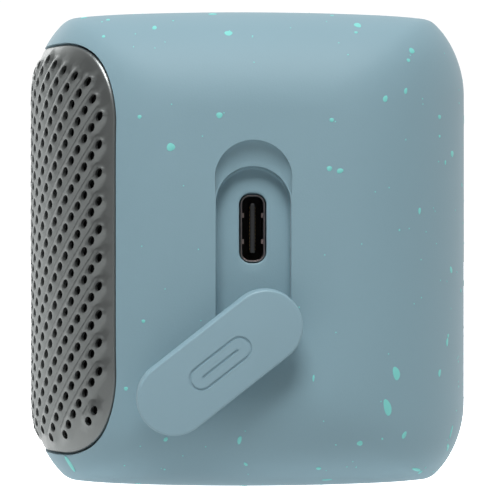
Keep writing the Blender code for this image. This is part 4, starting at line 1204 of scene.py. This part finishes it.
def make_floor():
    size = 6.0
    mesh = bpy.data.meshes.new("studio_floor")
    corners = [(-size, -size, 0), (size, -size, 0), (size, size, 0), (-size, size, 0)]
    mesh.from_pydata(corners, [], [(0, 1, 2, 3)])
    floor = bpy.data.objects.new("studio_floor", mesh)
    bpy.context.scene.collection.objects.link(floor)
    mat = bpy.data.materials.new("studio_white")
    mat.use_nodes = True
    tree = mat.node_tree
    shader = tree.nodes["Principled BSDF"]
    set_inputs(shader, Base_Color=(0.5, 0.5, 0.5, 1), Roughness=0.9, Emission_Color=(1, 1, 1, 1))
    lit = from_behind(tree, "Object", FLOOR_NEAR, FLOOR_FAR, FLOOR_LIGHT, FLOOR_LIGHT + FLOOR_BACK_LIGHT)
    tree.links.new(lit, shader.inputs["Emission Strength"])
    glow = set_inputs(tree.nodes.new("ShaderNodeEmission"), Strength=FLOOR_SEEN)
    add = tree.nodes.new("ShaderNodeAddShader")
    tree.links.new(shader.outputs["BSDF"], add.inputs[0])
    tree.links.new(glow.outputs["Emission"], add.inputs[1])
    camera_sees(tree, add.outputs["Shader"], shader.outputs["BSDF"], "Material Output")
    mesh.materials.append(mat)


FLOOR_SEEN = 0.95
FLOOR_LIGHT = 0.03
FLOOR_BACK_LIGHT = 1.0
FLOOR_NEAR = 0.125
FLOOR_FAR = 0.045
SKY_SEEN = 1.05
SKY_LIGHT = 0.05
BACK_LIGHT = 0.80
SKY_NEAR = 0.22
SKY_FAR = -0.5
make_floor()
world = bpy.data.worlds.new("studio")
bpy.context.scene.world = world
world.use_nodes = True
tree = world.node_tree
sky = set_inputs(tree.nodes["Background"], Color=(1, 1, 1, 1), Strength=SKY_SEEN)
ambient = set_inputs(tree.nodes.new("ShaderNodeBackground"), Color=(1, 1, 1, 1))
behind = from_behind(tree, "Generated", SKY_NEAR, SKY_FAR, SKY_LIGHT, SKY_LIGHT + BACK_LIGHT)
tree.links.new(behind, ambient.inputs["Strength"])
camera_sees(tree, sky.outputs["Background"], ambient.outputs["Background"], "World Output")


# %% Lights
def soft_light(name, place, aim, size, watts):
    light = bpy.data.lights.new(name, "AREA")
    light.shape = "RECTANGLE"
    light.size, light.size_y = size
    light.energy = watts
    obj = bpy.data.objects.new(name, light)
    obj.location = place
    obj.rotation_euler = (Vector(aim) - Vector(place)).to_track_quat("-Z", "Y").to_euler()
    bpy.context.scene.collection.objects.link(obj)


port_end = (MIDDLE_X + HALF_LENGTH, 0, CENTRE_Z)
soft_light("key", (0.324, -0.02, 0.394), port_end, (0.20, 0.20), 1.8)
soft_light("edge", (-0.36, -0.30, 0.27), port_end, (0.30, 0.30), 0.45)

# %% Camera
VIEW_TURN = math.radians(1.9)
VIEW_DISTANCE = 0.33
OUTLINE_X = MIDDLE_X + HALF_LENGTH - PLAN_RADIUS
VIEW_WIDTH = 69.8324 * MM
SENSOR = 36.0
camera_data = bpy.data.cameras.new("camera")
camera_data.sensor_width = SENSOR
camera_data.lens = SENSOR * VIEW_DISTANCE / VIEW_WIDTH
camera = bpy.data.objects.new("camera", camera_data)
bpy.context.scene.collection.objects.link(camera)
aim = Vector((OUTLINE_X, 0.16 * MM, CENTRE_Z - 0.13 * MM))
back = Vector((math.cos(VIEW_TURN), -math.sin(VIEW_TURN), 0))
camera.location = aim + back * VIEW_DISTANCE
camera.rotation_euler = (-back).to_track_quat("-Z", "Y").to_euler()
bpy.context.scene.camera = camera
bpy.context.scene.view_settings.view_transform = "Standard"
print("lens, mm:", round(camera_data.lens, 1))
